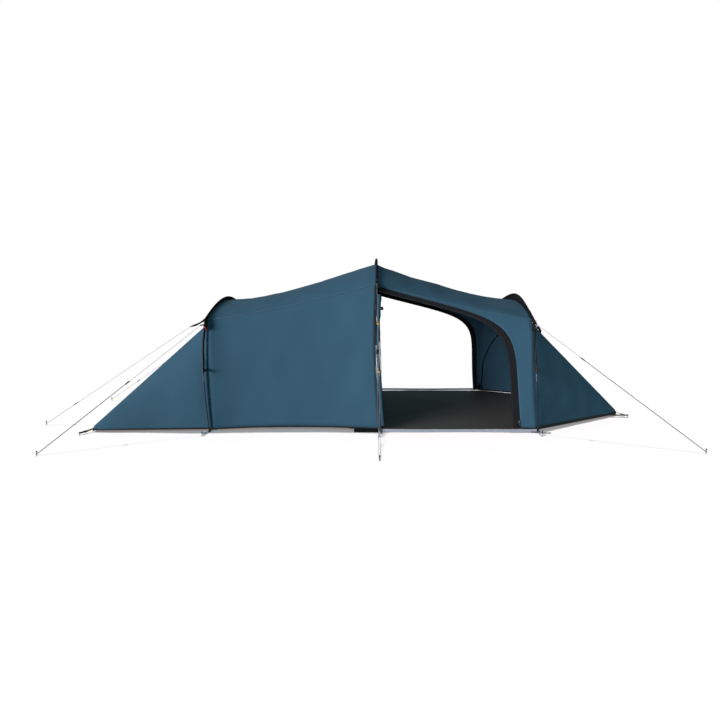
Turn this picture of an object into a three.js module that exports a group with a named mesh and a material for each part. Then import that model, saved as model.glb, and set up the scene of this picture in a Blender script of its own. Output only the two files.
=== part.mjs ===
// Three-hoop tunnel tent, pitched. Millimetres, +Z up, ground at z = 0.
// X runs along the tent: sleeping end at -X, living end at +X. The front is at -Y.
import * as THREE from 'three';

// ---------------------------------------------------------------- driving dimensions

const FOOT_Y = 1000; // half the distance between the two feet of a hoop
const FABRIC_T = 3; // thickness that stands for the flysheet
const SEAM_GAP = 0.5; // each panel stops this far short of its seam
const HEM_Y = 935; // half width of the flysheet at a hoop's foot
const HEM_Z = 15; // height of the hem above the ground at a hoop

// A hoop: where it stands, how it leans and bows along X, the pole's curve and the flysheet's section.
const HOOP_LEFT = {
  name: 'left', x: -1310, tilt: -66, tiltPower: 1, bow: -6, ridgeSkew: 0.65,
  pole: { spring: [1000, 420], flank: [962, 700], elbow: [770, 912], rise: 0.38, crownBend: 270, top: 1085 },
  shoulder: [745, 888], sideBend: [925, 640], shoulderBend: [670, 945], ridgeBend: 330, ridge: 1060,
};
const HOOP_MID = {
  name: 'centre', x: 60, tilt: -7, tiltPower: 1, bow: -38, ridgeSkew: 0,
  pole: { spring: [1005, 450], flank: [990, 850], elbow: [720, 1185], rise: 0.53, crownBend: 300, top: 1443 },
  shoulder: [640, 1192], sideBend: [905, 800], shoulderBend: [560, 1262], ridgeBend: 290, ridge: 1400,
};
const HOOP_RIGHT = {
  name: 'right', x: 1326, tilt: 60, tiltPower: 6, bow: -32, ridgeSkew: -0.2,
  pole: { spring: [1000, 420], flank: [962, 700], elbow: [770, 905], rise: 0.38, crownBend: 260, top: 1113 },
  shoulder: [745, 893], sideBend: [920, 640], shoulderBend: [670, 948], ridgeBend: 330, ridge: 1062,
};

// Sag of the flysheet half way between two hoops; a hoop's ridgeSkew moves the ridge's towards it.
const SAG = { ridge: 50, shoulderY: 18, shoulderZ: 26, sideY: 42, hemY: 38, hemZ: 14 };

// The ends: where the front bottom corner stands; the back one mirrors it.
const CORNER_LEFT = new THREE.Vector3(-2250, -985, 18);
const CORNER_RIGHT = new THREE.Vector3(2250, -388, 25);

// Doorways in the living bay, as shares of the bay's length and of the side's height.
const DOORWAY = { front: 0.905, back: 0.965, head: 0.975, roundness: 4.8, bandX: 0.044, bandT: 0.052 };

const POLE_R = 4.75;
const ELBOW_LEAD = 60; // how far the pole's curve holds its slope below and above the elbow
const CROWN_LEAD = 210;
const POLE_SIDES = 8;
const SLEEVE = { wall: 6.5, half: 8.5, clear: 5 }; // clear: between the flange's foot and the flysheet
// A hood: its two tips, then how far its rim rises and falls back between them and its dip half way out.
const HOOD_LEFT = { x: -1580, tipY: 520, tipZ: 828, crown: 42, scallop: 70, dip: 16 };
const HOOD_RIGHT = { x: 1440, tipY: 650, tipZ: 792, crown: 112, scallop: 36, dip: 4 };
const HOOD_SPAN = 0.93; // share of the roof's section that a hood is sewn to
const HOOD_LIFT = 12; // of the hood's sewn edge above the flysheet
const HOOD_GAP = 4; // between a hood and the sleeve beside it

const CORD_R = 1.3;
const PEG = { shaft: 2.6, head: 5.5, height: 34, neck: 27 };
const RUNNER = { length: 38, width: 19, depth: 8, hole: 2.1 };
const STRAND_GAP = 11; // between the two strands below a runner

const INNER = {
  front: -200, foot: -2060, halfWidth: 860, doorHalf: 330, doorFoot: 90, doorTop: 900, sheet: 2,
};

// ---------------------------------------------------------------- shared shape functions

const lerp = THREE.MathUtils.lerp;
const swell = (s) => 4 * s * (1 - s);

function quadratic(a, b, c, t) {
  return (1 - t) * (1 - t) * a + 2 * (1 - t) * t * b + t * t * c;
}

function cubic(a, b, c, d, t) {
  const r = 1 - t;
  return r * r * r * a + 3 * r * r * t * b + 3 * r * t * t * c + t * t * t * d;
}

// X of a hoop's plane at height z: it tilts and bows a little under the flysheet's pull.
function hoopX(hoop, z) {
  const h = THREE.MathUtils.clamp(z / hoop.pole.top, 0, 1);
  return hoop.x + hoop.tilt * h ** hoop.tiltPower + hoop.bow * Math.sin(Math.PI * h);
}

// The section of the flysheet at share s of the way from hoop a to hoop b.
function section(a, b, s) {
  const k = swell(s);
  const mix = (f) => lerp(f(a), f(b), s);
  return {
    hem: [HEM_Y - SAG.hemY * k, HEM_Z + SAG.hemZ * k],
    side: [mix((h) => h.sideBend[0]) - SAG.sideY * k, mix((h) => h.sideBend[1])],
    shoulder: [mix((h) => h.shoulder[0]) - SAG.shoulderY * k, mix((h) => h.shoulder[1]) - SAG.shoulderZ * k],
    bend: [mix((h) => h.shoulderBend[0]), mix((h) => h.shoulderBend[1]) - SAG.shoulderZ * k],
    ridgeBend: mix((h) => h.ridgeBend),
    ridge: mix((h) => h.ridge) - SAG.ridge * k * (1 + (a.ridgeSkew + b.ridgeSkew) * (1 - 2 * s)),
  };
}

// A point of the side, t = 0 at the hem and 1 at the shoulder seam. dir is -1 front, 1 back.
function sidePoint(a, b, s, t, dir) {
  const c = section(a, b, s);
  const y = quadratic(c.hem[0], c.side[0], c.shoulder[0], t);
  const z = quadratic(c.hem[1], c.side[1], c.shoulder[1], t);
  return new THREE.Vector3(lerp(hoopX(a, z), hoopX(b, z), s), dir * y, z);
}

// A point of the roof, w = -1 at the front shoulder seam, 0 on the ridge, 1 at the back.
function roofPoint(a, b, s, w) {
  const c = section(a, b, s);
  const t = 1 - Math.abs(w);
  const y = cubic(c.shoulder[0], c.bend[0], c.ridgeBend, 0, t);
  const z = cubic(c.shoulder[1], c.bend[1], c.ridge, c.ridge, t);
  return new THREE.Vector3(lerp(hoopX(a, z), hoopX(b, z), s), Math.sign(w) * y, z);
}

// The direction into the tent from a point of its skin, smooth over every seam.
function inward(p) {
  const core = new THREE.Vector3(p.x * 0.72, 0, 230);
  return core.sub(p).normalize();
}

// A closed solid: triangles over a grid of outer points, the same grid moved inward, and the rim.
function sheetSolid(pointAt, columns, rows, thickness, inwardAt = inward) {
  const outer = [];
  for (let i = 0; i <= columns; i += 1) {
    for (let j = 0; j <= rows; j += 1) {
      outer.push(pointAt(i / columns, j / rows));
    }
  }
  const inner = outer.map((p) => p.clone().addScaledVector(inwardAt(p), thickness));
  const index = [];
  const at = (i, j) => i * (rows + 1) + j;
  const shift = outer.length;
  const quad = (a, b, c, d) => index.push(a, b, c, a, c, d);
  for (let i = 0; i < columns; i += 1) {
    for (let j = 0; j < rows; j += 1) {
      quad(at(i, j), at(i + 1, j), at(i + 1, j + 1), at(i, j + 1));
      quad(at(i, j) + shift, at(i, j + 1) + shift, at(i + 1, j + 1) + shift, at(i + 1, j) + shift);
    }
  }
  for (let i = 0; i < columns; i += 1) {
    quad(at(i, 0) + shift, at(i + 1, 0) + shift, at(i + 1, 0), at(i, 0));
    quad(at(i, rows), at(i + 1, rows), at(i + 1, rows) + shift, at(i, rows) + shift);
  }
  for (let j = 0; j < rows; j += 1) {
    quad(at(0, j), at(0, j + 1), at(0, j + 1) + shift, at(0, j) + shift);
    quad(at(columns, j) + shift, at(columns, j + 1) + shift, at(columns, j + 1), at(columns, j));
  }
  return facingOut(closedGeometry([...outer, ...inner], index));
}

function closedGeometry(points, index) {
  const geometry = new THREE.BufferGeometry();
  const numbers = points.flatMap((p) => [p.x, p.y, p.z]);
  geometry.setAttribute('position', new THREE.Float32BufferAttribute(numbers, 3));
  geometry.setIndex(index);
  return geometry;
}

// Turns every triangle round if the solid's signed volume is negative.
function facingOut(geometry) {
  const position = geometry.getAttribute('position');
  const index = geometry.getIndex().array;
  const [a, b, c] = [new THREE.Vector3(), new THREE.Vector3(), new THREE.Vector3()];
  let volume = 0;
  for (let i = 0; i < index.length; i += 3) {
    a.fromBufferAttribute(position, index[i]);
    b.fromBufferAttribute(position, index[i + 1]);
    c.fromBufferAttribute(position, index[i + 2]);
    volume += a.dot(b.cross(c));
  }
  if (volume < 0) {
    for (let i = 0; i < index.length; i += 3) {
      [index[i + 1], index[i + 2]] = [index[i + 2], index[i + 1]];
    }
  }
  return geometry;
}

// Joins rings of points into a solid with two flat ends, or a pipe when inner rings are given.
function loft(rings, innerRings = null) {
  const count = rings[0].length;
  const last = rings.length - 1;
  const points = rings.flat();
  const index = [];
  const quad = (a, b, c, d) => index.push(a, b, c, a, c, d);
  const walls = (base, reverse) => {
    for (let k = 0; k < last; k += 1) {
      for (let i = 0; i < count; i += 1) {
        const a = base + k * count + i;
        const b = base + k * count + ((i + 1) % count);
        if (reverse) {
          quad(a, a + count, b + count, b);
        } else {
          quad(a, b, b + count, a + count);
        }
      }
    }
  };
  walls(0, false);
  if (innerRings) {
    const base = points.length;
    points.push(...innerRings.flat());
    walls(base, true);
    for (let i = 0; i < count; i += 1) {
      const j = (i + 1) % count;
      quad(base + i, base + j, j, i);
      quad(last * count + i, last * count + j, base + last * count + j, base + last * count + i);
    }
    return facingOut(closedGeometry(points, index));
  }
  for (let i = 1; i < count - 1; i += 1) {
    index.push(0, i + 1, i);
    index.push(last * count, last * count + i, last * count + i + 1);
  }
  return facingOut(closedGeometry(points, index));
}

// A curve that passes straight from point to point, one step for each.
class Route extends THREE.Curve {
  constructor(points) {
    super();
    this.points = points;
  }

  getPoint(t, target = new THREE.Vector3()) {
    const last = this.points.length - 1;
    const k = Math.min(Math.floor(t * last + 1e-9), last - 1);
    return target.copy(this.points[k]).lerp(this.points[k + 1], t * last - k);
  }

  getTangent(t, target = new THREE.Vector3()) {
    const last = this.points.length - 1;
    const k = Math.round(t * last);
    const before = this.points[Math.max(k - 1, 0)];
    const after = this.points[Math.min(k + 1, last)];
    return target.copy(after).sub(before).normalize();
  }

  getUtoTmapping(u) {
    return u;
  }
}

function polygon(radius, sides) {
  const corners = [];
  for (let i = 0; i < sides; i += 1) {
    const a = (2 * Math.PI * (i + 0.5)) / sides;
    corners.push(new THREE.Vector2(radius * Math.cos(a), radius * Math.sin(a)));
  }
  return corners;
}

function tube(points, radius, sides) {
  const shape = new THREE.Shape(polygon(radius, sides));
  return new THREE.ExtrudeGeometry(shape, {
    steps: points.length - 1, curveSegments: 1, bevelEnabled: false, extrudePath: new Route(points),
  });
}

// ---------------------------------------------------------------- the model

const tent = new THREE.Group();

function add(name, geometry, color, roughness = 0.8, metalness = 0) {
  const mesh = new THREE.Mesh(geometry, new THREE.MeshStandardMaterial({ color, roughness, metalness }));
  mesh.name = name;
  tent.add(mesh);
  return mesh;
}

const FLY_SIDE = 0x3c5c72;
const FLY_ROOF = 0x36566a;
const FLY_END = 0x40657d;
const BLACK = 0x1c1c20;

// ---------------------------------------------------------------- flysheet between the hoops

const BAYS = [
  { name: 'sleeping', a: HOOP_LEFT, b: HOOP_MID },
  { name: 'living', a: HOOP_MID, b: HOOP_RIGHT },
];

// Shares inset from both ends of a stretch, so that panels meet with a gap.
const inset = (share, length) => lerp(SEAM_GAP / length, 1 - SEAM_GAP / length, share);
const BAY_LENGTH = 1300;
const SIDE_LENGTH = 950;
const ROOF_HALF = 780;

for (const { name, a, b } of BAYS) {
  const roof = (i, j) => roofPoint(a, b, inset(i, BAY_LENGTH), lerp(-1, 1, inset(j, 2 * ROOF_HALF)));
  add(`roof_${name}`, sheetSolid(roof, 8, 14, FABRIC_T), FLY_ROOF);
}

for (const [word, dir] of [['front', -1], ['back', 1]]) {
  const side = (i, j) => sidePoint(HOOP_LEFT, HOOP_MID, inset(i, BAY_LENGTH), inset(j, SIDE_LENGTH), dir);
  add(`side_${word}_sleeping`, sheetSolid(side, 8, 8, FABRIC_T), FLY_SIDE);
}

// The doorway's outline in shares (s, t) of the living side. q runs from the centre hoop over the
// top and down to the ground; grow moves the outline by whole band widths.
function doorEdge(q, reach, grow) {
  const s0 = reach + grow * DOORWAY.bandX;
  const t0 = DOORWAY.head + grow * DOORWAY.bandT;
  const n = DOORWAY.roundness;
  const corner = 0.5 ** (1 / n);
  if (q < 0.5) {
    const part = 2 * q * corner;
    return [s0 * part, t0 * (1 - part ** n) ** (1 / n)];
  }
  const part = 2 * (1 - q) * corner;
  return [s0 * (1 - part ** n) ** (1 / n), t0 * part];
}

// The outer border of the living side for the same q: along the shoulder seam, then down the hoop.
function sideBorder(q) {
  const first = SEAM_GAP / BAY_LENGTH;
  const end = 1 - first;
  const top = 1 - SEAM_GAP / SIDE_LENGTH;
  return q < 0.5 ? [lerp(first, end, 2 * q), top] : [end, top * 2 * (1 - q)];
}

const BAND_GAP = 0.012; // between the door band and the panel round it, in band widths
const betweenShares = (from, to, r) => [lerp(from[0], to[0], r), lerp(from[1], to[1], r)];
const DOORS = [['front', -1, DOORWAY.front], ['back', 1, DOORWAY.back]];

for (const [word, dir, reach] of DOORS) {
  const first = SEAM_GAP / BAY_LENGTH;
  const onSide = ([s, t]) => sidePoint(HOOP_MID, HOOP_RIGHT, Math.max(s, first), Math.max(t, 0), dir);
  const panel = (i, j) => onSide(betweenShares(doorEdge(i, reach, BAND_GAP), sideBorder(i), j));
  add(`side_${word}_living`, sheetSolid(panel, 20, 2, FABRIC_T), FLY_SIDE);
  const band = (i, j) => onSide(betweenShares(doorEdge(i, reach, -1), doorEdge(i, reach, 0), j));
  add(`door_band_${word}`, sheetSolid(band, 20, 1, FABRIC_T), BLACK, 0.75);
}

// ---------------------------------------------------------------- sloping ends

const ENDS = [
  { name: 'left', hoop: HOOP_LEFT, out: -1, corner: CORNER_LEFT },
  { name: 'right', hoop: HOOP_RIGHT, out: 1, corner: CORNER_RIGHT },
];
const END_LENGTH = 1200;
const END_SEAM = 0.93; // share of the hoop's side below the corner seam
const ROOF_SHARE = 6 / 7; // of the slope's top edge that lies on the hoop's roof
const HEM_BAND = 14; // height of the corner's upright edge
const END_SAG = 14; // dip of the slope half way down
// The fold below the vent: its share down the corner seam, and how far its middle rises and stands out.
const FOLD = { share: 0.03, rise: 16, left: 26, right: 54 };

// A point of the flysheet's section in the plane of one hoop, moved out of the way of the bay.
function hoopSide(hoop, t, dir, out) {
  const p = sidePoint(hoop, hoop, 0, t, dir);
  p.x += out * SEAM_GAP;
  return p;
}

// The hoop's section above the corner seams: w = -1 at the front one, 1 at the back one.
function hoopTop(hoop, w, out) {
  const past = (Math.abs(w) - ROOF_SHARE) / (1 - ROOF_SHARE);
  const onSide = sidePoint(hoop, hoop, 0, lerp(1, END_SEAM, past), Math.sign(w));
  const p = past > 0 ? onSide : roofPoint(hoop, hoop, 0, w / ROOF_SHARE);
  p.x += out * SEAM_GAP;
  return p;
}

for (const { name, hoop, out, corner } of ENDS) {
  for (const [word, dir] of [['front', -1], ['back', 1]]) {
    const low = new THREE.Vector3(corner.x, dir * Math.abs(corner.y), corner.z);
    const high = low.clone().setZ(corner.z + HEM_BAND);
    const wall = (i, j) => {
      const t = inset(j, SIDE_LENGTH);
      const foot = low.clone().lerp(high, t);
      return hoopSide(hoop, t * END_SEAM, dir, out).lerp(foot, i);
    };
    add(`end_${name}_${word}`, sheetSolid(wall, 6, 8, FABRIC_T), FLY_END);
  }
  const seamTop = hoopSide(hoop, END_SEAM, 1, out);
  const seamFoot = new THREE.Vector3(corner.x, Math.abs(corner.y) - 1.5, corner.z + HEM_BAND + 1);
  const fold = seamTop.clone().lerp(seamFoot, FOLD.share);
  const steps = 7;
  const slope = (i, j) => {
    const w = lerp(-1, 1, inset(j, 2 * ROOF_HALF));
    if (i === 0) {
      return hoopTop(hoop, w, out);
    }
    const middle = 1 - w * w;
    const p = new THREE.Vector3(fold.x + out * FOLD[name] * middle, w * fold.y, fold.z + FOLD.rise * middle);
    const down = (i * steps - 1) / (steps - 1);
    p.lerp(new THREE.Vector3(seamFoot.x, w * seamFoot.y, seamFoot.z), down);
    p.z -= END_SAG * swell(down) * middle;
    return p;
  };
  add(`end_${name}_slope`, sheetSolid(slope, steps, 14, FABRIC_T), FLY_END);
}

// ---------------------------------------------------------------- poles and their sleeves

// Half of a pole's centre line in (y, z), from the foot over the elbow to the crown.
function poleHalf({ pole }) {
  const [springY, springZ] = pole.spring;
  const [flankY, flankZ] = pole.flank;
  const [elbowY, elbowZ] = pole.elbow;
  const points = [];
  for (let k = 0; k < 3; k += 1) {
    points.push([lerp(FOOT_Y, springY, k / 3), lerp(0.4, springZ, k / 3)]);
  }
  const above = [elbowY + ELBOW_LEAD, elbowZ - ELBOW_LEAD * pole.rise];
  for (let k = 0; k < 7; k += 1) {
    points.push([
      cubic(springY, flankY, above[0], elbowY, k / 7), cubic(springZ, flankZ, above[1], elbowZ, k / 7),
    ]);
  }
  const below = [elbowY - CROWN_LEAD, elbowZ + CROWN_LEAD * pole.rise];
  for (let k = 0; k <= 8; k += 1) {
    points.push([
      cubic(elbowY, below[0], pole.crownBend, 0, k / 8), cubic(elbowZ, below[1], pole.top, pole.top, k / 8),
    ]);
  }
  return points;
}

function polePath(hoop) {
  const half = poleHalf(hoop);
  const front = half.map(([y, z]) => new THREE.Vector3(hoopX(hoop, z), -y, z));
  const back = half.slice(0, -1).reverse().map(([y, z]) => new THREE.Vector3(hoopX(hoop, z), y, z));
  return [...front, ...back];
}

// The flysheet's section at a hoop as a chain of points in (y, z), front hem to back hem.
function skinChain(hoop) {
  const chain = [];
  for (let k = 0; k <= 8; k += 1) {
    chain.push(sidePoint(hoop, hoop, 0, k / 8, -1));
  }
  for (let k = 1; k < 14; k += 1) {
    chain.push(roofPoint(hoop, hoop, 0, lerp(-1, 1, k / 14)));
  }
  for (let k = 8; k >= 0; k -= 1) {
    chain.push(sidePoint(hoop, hoop, 0, k / 8, 1));
  }
  return chain;
}

// Distance from p to the chain along direction d, both in the YZ plane.
function reachSkin(chain, p, d) {
  let best = Infinity;
  for (let k = 0; k < chain.length - 1; k += 1) {
    const [ey, ez] = [chain[k + 1].y - chain[k].y, chain[k + 1].z - chain[k].z];
    const cross = d.y * ez - d.z * ey;
    if (Math.abs(cross) > 1e-9) {
      const [wy, wz] = [chain[k].y - p.y, chain[k].z - p.z];
      const along = (wy * ez - wz * ey) / cross;
      const share = (wy * d.z - wz * d.y) / cross;
      if (along > 0 && share > -0.01 && share < 1.01) {
        best = Math.min(best, along);
      }
    }
  }
  return best;
}

// The sleeve: a tunnel round the pole that ends in a flange sewn to the flysheet.
function sleeveGeometry(hoop, lowest) {
  const chain = skinChain(hoop);
  const path = polePath(hoop);
  const outer = [];
  const inner = [];
  for (let k = 1; k < path.length - 1; k += 1) {
    const centre = path[k];
    if (centre.z < lowest) {
      continue;
    }
    const along = path[k + 1].clone().sub(path[k - 1]).setX(0).normalize();
    const up = new THREE.Vector3(0, -along.z, along.y);
    const down = up.clone().negate();
    const nearby = [centre, centre.clone().lerp(path[k - 1], 0.5), centre.clone().lerp(path[k + 1], 0.5)];
    const drop = Math.min(...nearby.map((p) => reachSkin(chain, p, down))) - SLEEVE.clear;
    const flat = SLEEVE.half;
    const shape = [
      [3, SLEEVE.wall + 4], [flat, SLEEVE.wall - 1], [flat, -SLEEVE.wall], [2.4, -drop],
      [-2.4, -drop], [-flat, -SLEEVE.wall], [-flat, SLEEVE.wall - 1], [-3, SLEEVE.wall + 4],
    ];
    const offset = (x, h) => centre.clone().add(new THREE.Vector3(x, 0, 0)).addScaledVector(up, h);
    outer.push(shape.map(([x, h]) => offset(x, h)));
    const hole = [];
    for (let i = 0; i < shape.length; i += 1) {
      const a = (Math.PI / 4) * (1.5 - i);
      const r = POLE_R + 1;
      hole.push(offset(r * Math.cos(a), r * Math.sin(a)));
    }
    inner.push(hole);
  }
  return loft(outer, inner);
}

const SLEEVE_END = { left: 830, centre: 1160, right: 830 };

for (const hoop of [HOOP_LEFT, HOOP_MID, HOOP_RIGHT]) {
  add(`pole_${hoop.name}`, tube(polePath(hoop), POLE_R, POLE_SIDES), 0x3a3a40, 0.35, 0.9);
  add(`pole_sleeve_${hoop.name}`, sleeveGeometry(hoop, SLEEVE_END[hoop.name]), BLACK, 0.85);
}

// ---------------------------------------------------------------- vent hoods

// The hood springs from the foot of the sleeve and reaches out over the vent in the slope.
const HOODS = [['left', HOOP_LEFT, HOOD_LEFT, -1], ['right', HOOP_RIGHT, HOOD_RIGHT, 1]];

for (const [name, hoop, hood, out] of HOODS) {
  const sheet = (i, j) => {
    const w = lerp(-HOOD_SPAN, HOOD_SPAN, j);
    const turn = ((w / HOOD_SPAN) * Math.PI) / 2;
    const root = roofPoint(hoop, hoop, 0, w);
    root.z += HOOD_LIFT;
    root.x = hoopX(hoop, root.z + 30) + out * (SLEEVE.half + HOOD_GAP);
    const rim = new THREE.Vector3(hood.x, hood.tipY * Math.sin(turn), hood.tipZ);
    rim.z += hood.crown * Math.cos(turn);
    rim.x -= out * hood.scallop * Math.cos(turn);
    const p = root.lerp(rim, i);
    p.z -= hood.dip * swell(i);
    return p;
  };
  add(`vent_hood_${name}`, sheetSolid(sheet, 4, 12, FABRIC_T), BLACK, 0.8);
}

// ---------------------------------------------------------------- rolled doors with their toggles

function ringAt(centre, radiusX, radiusY, sides) {
  const ring = [];
  for (let i = 0; i < sides; i += 1) {
    const a = (2 * Math.PI * i) / sides;
    ring.push(centre.clone().add(new THREE.Vector3(radiusX * Math.cos(a), radiusY * Math.sin(a), 0)));
  }
  return ring;
}

// share: along the bay; foot and top: up the side; radii at the ends, which the ties take in at the waist.
const ROLL = { share: 0.021, foot: 0.012, top: 0.9, depth: 16, radiusX: 19, radiusY: 14, waist: 0.22 };
const TOGGLE = { radius: 4, length: 26, heights: [0.33, 0.66], stand: 32 };

for (const [word, dir] of [['front', -1], ['back', 1]]) {
  const rollCentre = (t) => {
    const p = sidePoint(HOOP_MID, HOOP_RIGHT, ROLL.share, t, dir);
    p.y -= dir * ROLL.depth;
    return p;
  };
  const rings = [];
  for (let k = 0; k <= 10; k += 1) {
    const t = lerp(ROLL.foot, ROLL.top, k / 10);
    const waist = 1 - ROLL.waist * swell(k / 10);
    rings.push(ringAt(rollCentre(t), ROLL.radiusX * waist, ROLL.radiusY * waist, 8));
  }
  add(`door_roll_${word}`, loft(rings), FLY_SIDE);
  TOGGLE.heights.forEach((t, k) => {
    const bar = new THREE.CylinderGeometry(TOGGLE.radius, TOGGLE.radius, TOGGLE.length, 8);
    const mesh = add(`toggle_${word}_${k === 0 ? 'lower' : 'upper'}`, bar, 0x202024, 0.5);
    mesh.position.copy(rollCentre(t)).add(new THREE.Vector3(0, dir * TOGGLE.stand, 0));
    mesh.rotation.z = Math.PI / 2;
  });
}

// ---------------------------------------------------------------- door zip sliders

// inBand, low and high place the slider's way on the doorway's outline; stand and start place it on that way.
const ZIP = {
  inBand: -0.12, low: 0.985, high: 0.8, halfLength: 9, halfWidth: 5, taper: 3, depth: 5, stand: 7, start: 18,
};

for (const [word, dir, reach] of DOORS) {
  const at = (q) => {
    const [s, t] = doorEdge(q, reach, ZIP.inBand);
    return sidePoint(HOOP_MID, HOOP_RIGHT, s, t, dir);
  };
  const low = at(ZIP.low);
  const high = at(ZIP.high);
  const up = high.clone().sub(low).normalize();
  const outline = new THREE.Shape();
  outline.moveTo(-ZIP.halfWidth, -ZIP.halfLength);
  outline.lineTo(ZIP.halfWidth, -ZIP.halfLength);
  outline.lineTo(ZIP.taper, ZIP.halfLength);
  outline.lineTo(-ZIP.taper, ZIP.halfLength);
  outline.closePath();
  const body = new THREE.ExtrudeGeometry(outline, {
    depth: ZIP.depth, bevelEnabled: true, bevelSize: 1, bevelThickness: 1, bevelSegments: 1,
  });
  const mesh = add(`zip_slider_${word}`, body, 0x9a9aa0, 0.35, 0.9);
  const face = new THREE.Vector3(0, dir, 0).addScaledVector(up, -dir * up.y).normalize();
  mesh.quaternion.setFromRotationMatrix(new THREE.Matrix4().makeBasis(up.clone().cross(face), up, face));
  mesh.position.copy(low).addScaledVector(face, ZIP.stand).addScaledVector(up, ZIP.start);
}

// ---------------------------------------------------------------- floors and inner tent

function slab(corners, thickness) {
  return new THREE.ExtrudeGeometry(new THREE.Shape(corners), { depth: thickness, bevelEnabled: false });
}

const FLOOR_T = 2.5;
const GROUNDSHEET_TIP = new THREE.Vector2(CORNER_RIGHT.x - 40, Math.abs(CORNER_RIGHT.y) - 20);
const groundsheetHalf = [
  new THREE.Vector2(-150, 905), new THREE.Vector2(450, 925), new THREE.Vector2(HOOP_RIGHT.x, 915),
  GROUNDSHEET_TIP,
];
const groundsheetFront = groundsheetHalf.map((v) => new THREE.Vector2(v.x, -v.y));
const groundsheet = slab([...groundsheetFront, ...groundsheetHalf.toReversed()], FLOOR_T);
add('groundsheet_living', groundsheet, 0x343434, 0.9);

add('inner_floor', slab([
  new THREE.Vector2(INNER.foot, -INNER.halfWidth), new THREE.Vector2(INNER.front, -INNER.halfWidth),
  new THREE.Vector2(INNER.front, INNER.halfWidth), new THREE.Vector2(INNER.foot, INNER.halfWidth),
], FLOOR_T), 0x2c2e30, 0.9);

// The inner tent's section: an arch of the given height on the floor.
function innerPoint(x, height, w) {
  const power = 2.3;
  const a = (Math.PI / 2) * (1 - Math.abs(w));
  const y = INNER.halfWidth * Math.sign(w) * Math.cos(a) ** (2 / power);
  return new THREE.Vector3(x, y, FLOOR_T + 0.7 + height * Math.sin(a) ** (2 / power));
}

const INNER_STATIONS = [
  [INNER.front - 0.6, 1225], [-520, 1120], [-900, 1030], [-1320, 880], [-1560, 600], [-1800, 350],
  [-1990, 170], [INNER.foot, 60],
];

function innerBody(i, j) {
  const k = Math.round(i * (INNER_STATIONS.length - 1));
  const [x, height] = INNER_STATIONS[k];
  return innerPoint(x, height, lerp(-1, 1, j));
}
add('inner_body', sheetSolid(innerBody, INNER_STATIONS.length - 1, 14, INNER.sheet), 0xb9bcc0, 0.9);

// The inner tent's front wall, a flat sheet facing the living space, with its doorway.
function innerFrontWall() {
  const outline = new THREE.Shape();
  for (let k = 0; k <= 20; k += 1) {
    const p = innerPoint(0, INNER_STATIONS[0][1] - 4, lerp(-1, 1, k / 20));
    if (k === 0) {
      outline.moveTo(p.y, p.z);
    } else {
      outline.lineTo(p.y, p.z);
    }
  }
  outline.closePath();
  const door = new THREE.Path();
  const spring = INNER.doorTop - INNER.doorHalf;
  door.moveTo(-INNER.doorHalf, INNER.doorFoot);
  door.lineTo(INNER.doorHalf, INNER.doorFoot);
  door.lineTo(INNER.doorHalf, spring);
  door.absarc(0, spring, INNER.doorHalf, 0, Math.PI, false);
  door.closePath();
  outline.holes.push(door);
  const wall = new THREE.ExtrudeGeometry(outline, {
    depth: INNER.sheet, bevelEnabled: false, curveSegments: 10,
  });
  wall.applyMatrix4(new THREE.Matrix4().makeBasis(
    new THREE.Vector3(0, 1, 0), new THREE.Vector3(0, 0, 1), new THREE.Vector3(1, 0, 0)));
  return wall.translate(INNER.front, 0, 0);
}
add('inner_front_wall', innerFrontWall(), 0x6f7377, 0.9);

const INNER_ROLL = { stand: 26, beside: 30, foot: 110, top: 760, radiusX: 15, radiusY: 17 };
const innerRoll = [];
for (let k = 0; k <= 6; k += 1) {
  const height = lerp(INNER_ROLL.foot, INNER_ROLL.top, k / 6);
  const y = INNER.doorHalf + INNER_ROLL.beside;
  const centre = new THREE.Vector3(INNER.front + INNER_ROLL.stand, y, height);
  innerRoll.push(ringAt(centre, INNER_ROLL.radiusX, INNER_ROLL.radiusY, 8));
}
add('inner_door_roll', loft(innerRoll), 0x6f7377, 0.9);

// ---------------------------------------------------------------- guylines, runners and pegs

// from: where the line leaves the tent; peg: where it is pegged; share: the runner's place on the line.
const GUYLINES = [
  { name: 'hood_front', from: [-1588, -522, 823], peg: [-2771, -738], share: 0.8 },
  { name: 'hood_back', from: [-1588, 522, 823], peg: [-2739, 348], share: 0.76 },
  { name: 'left_front', from: [-1392, -868, 852], peg: [-2297, -1625], share: 0.49 },
  { name: 'left_back', from: [-1392, 868, 852], peg: [-2297, 1625], share: 0.49 },
  { name: 'centre_front', from: [30, -764, 1184], peg: [27, -1727], share: 0.44 },
  { name: 'centre_back', from: [30, 764, 1184], peg: [27, 1727], share: 0.44 },
  { name: 'right_front', from: [1334, -866, 850], peg: [2283, -1570], share: 0.3 },
  { name: 'right_back', from: [1334, 866, 850], peg: [2283, 1570], share: 0.3 },
];
const LINE_HEIGHT = 12; // of the strands where they pass round the peg
const LOOP_STEPS = 6;
const TAIL = 12; // of the knotted end below the runner's middle

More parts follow.
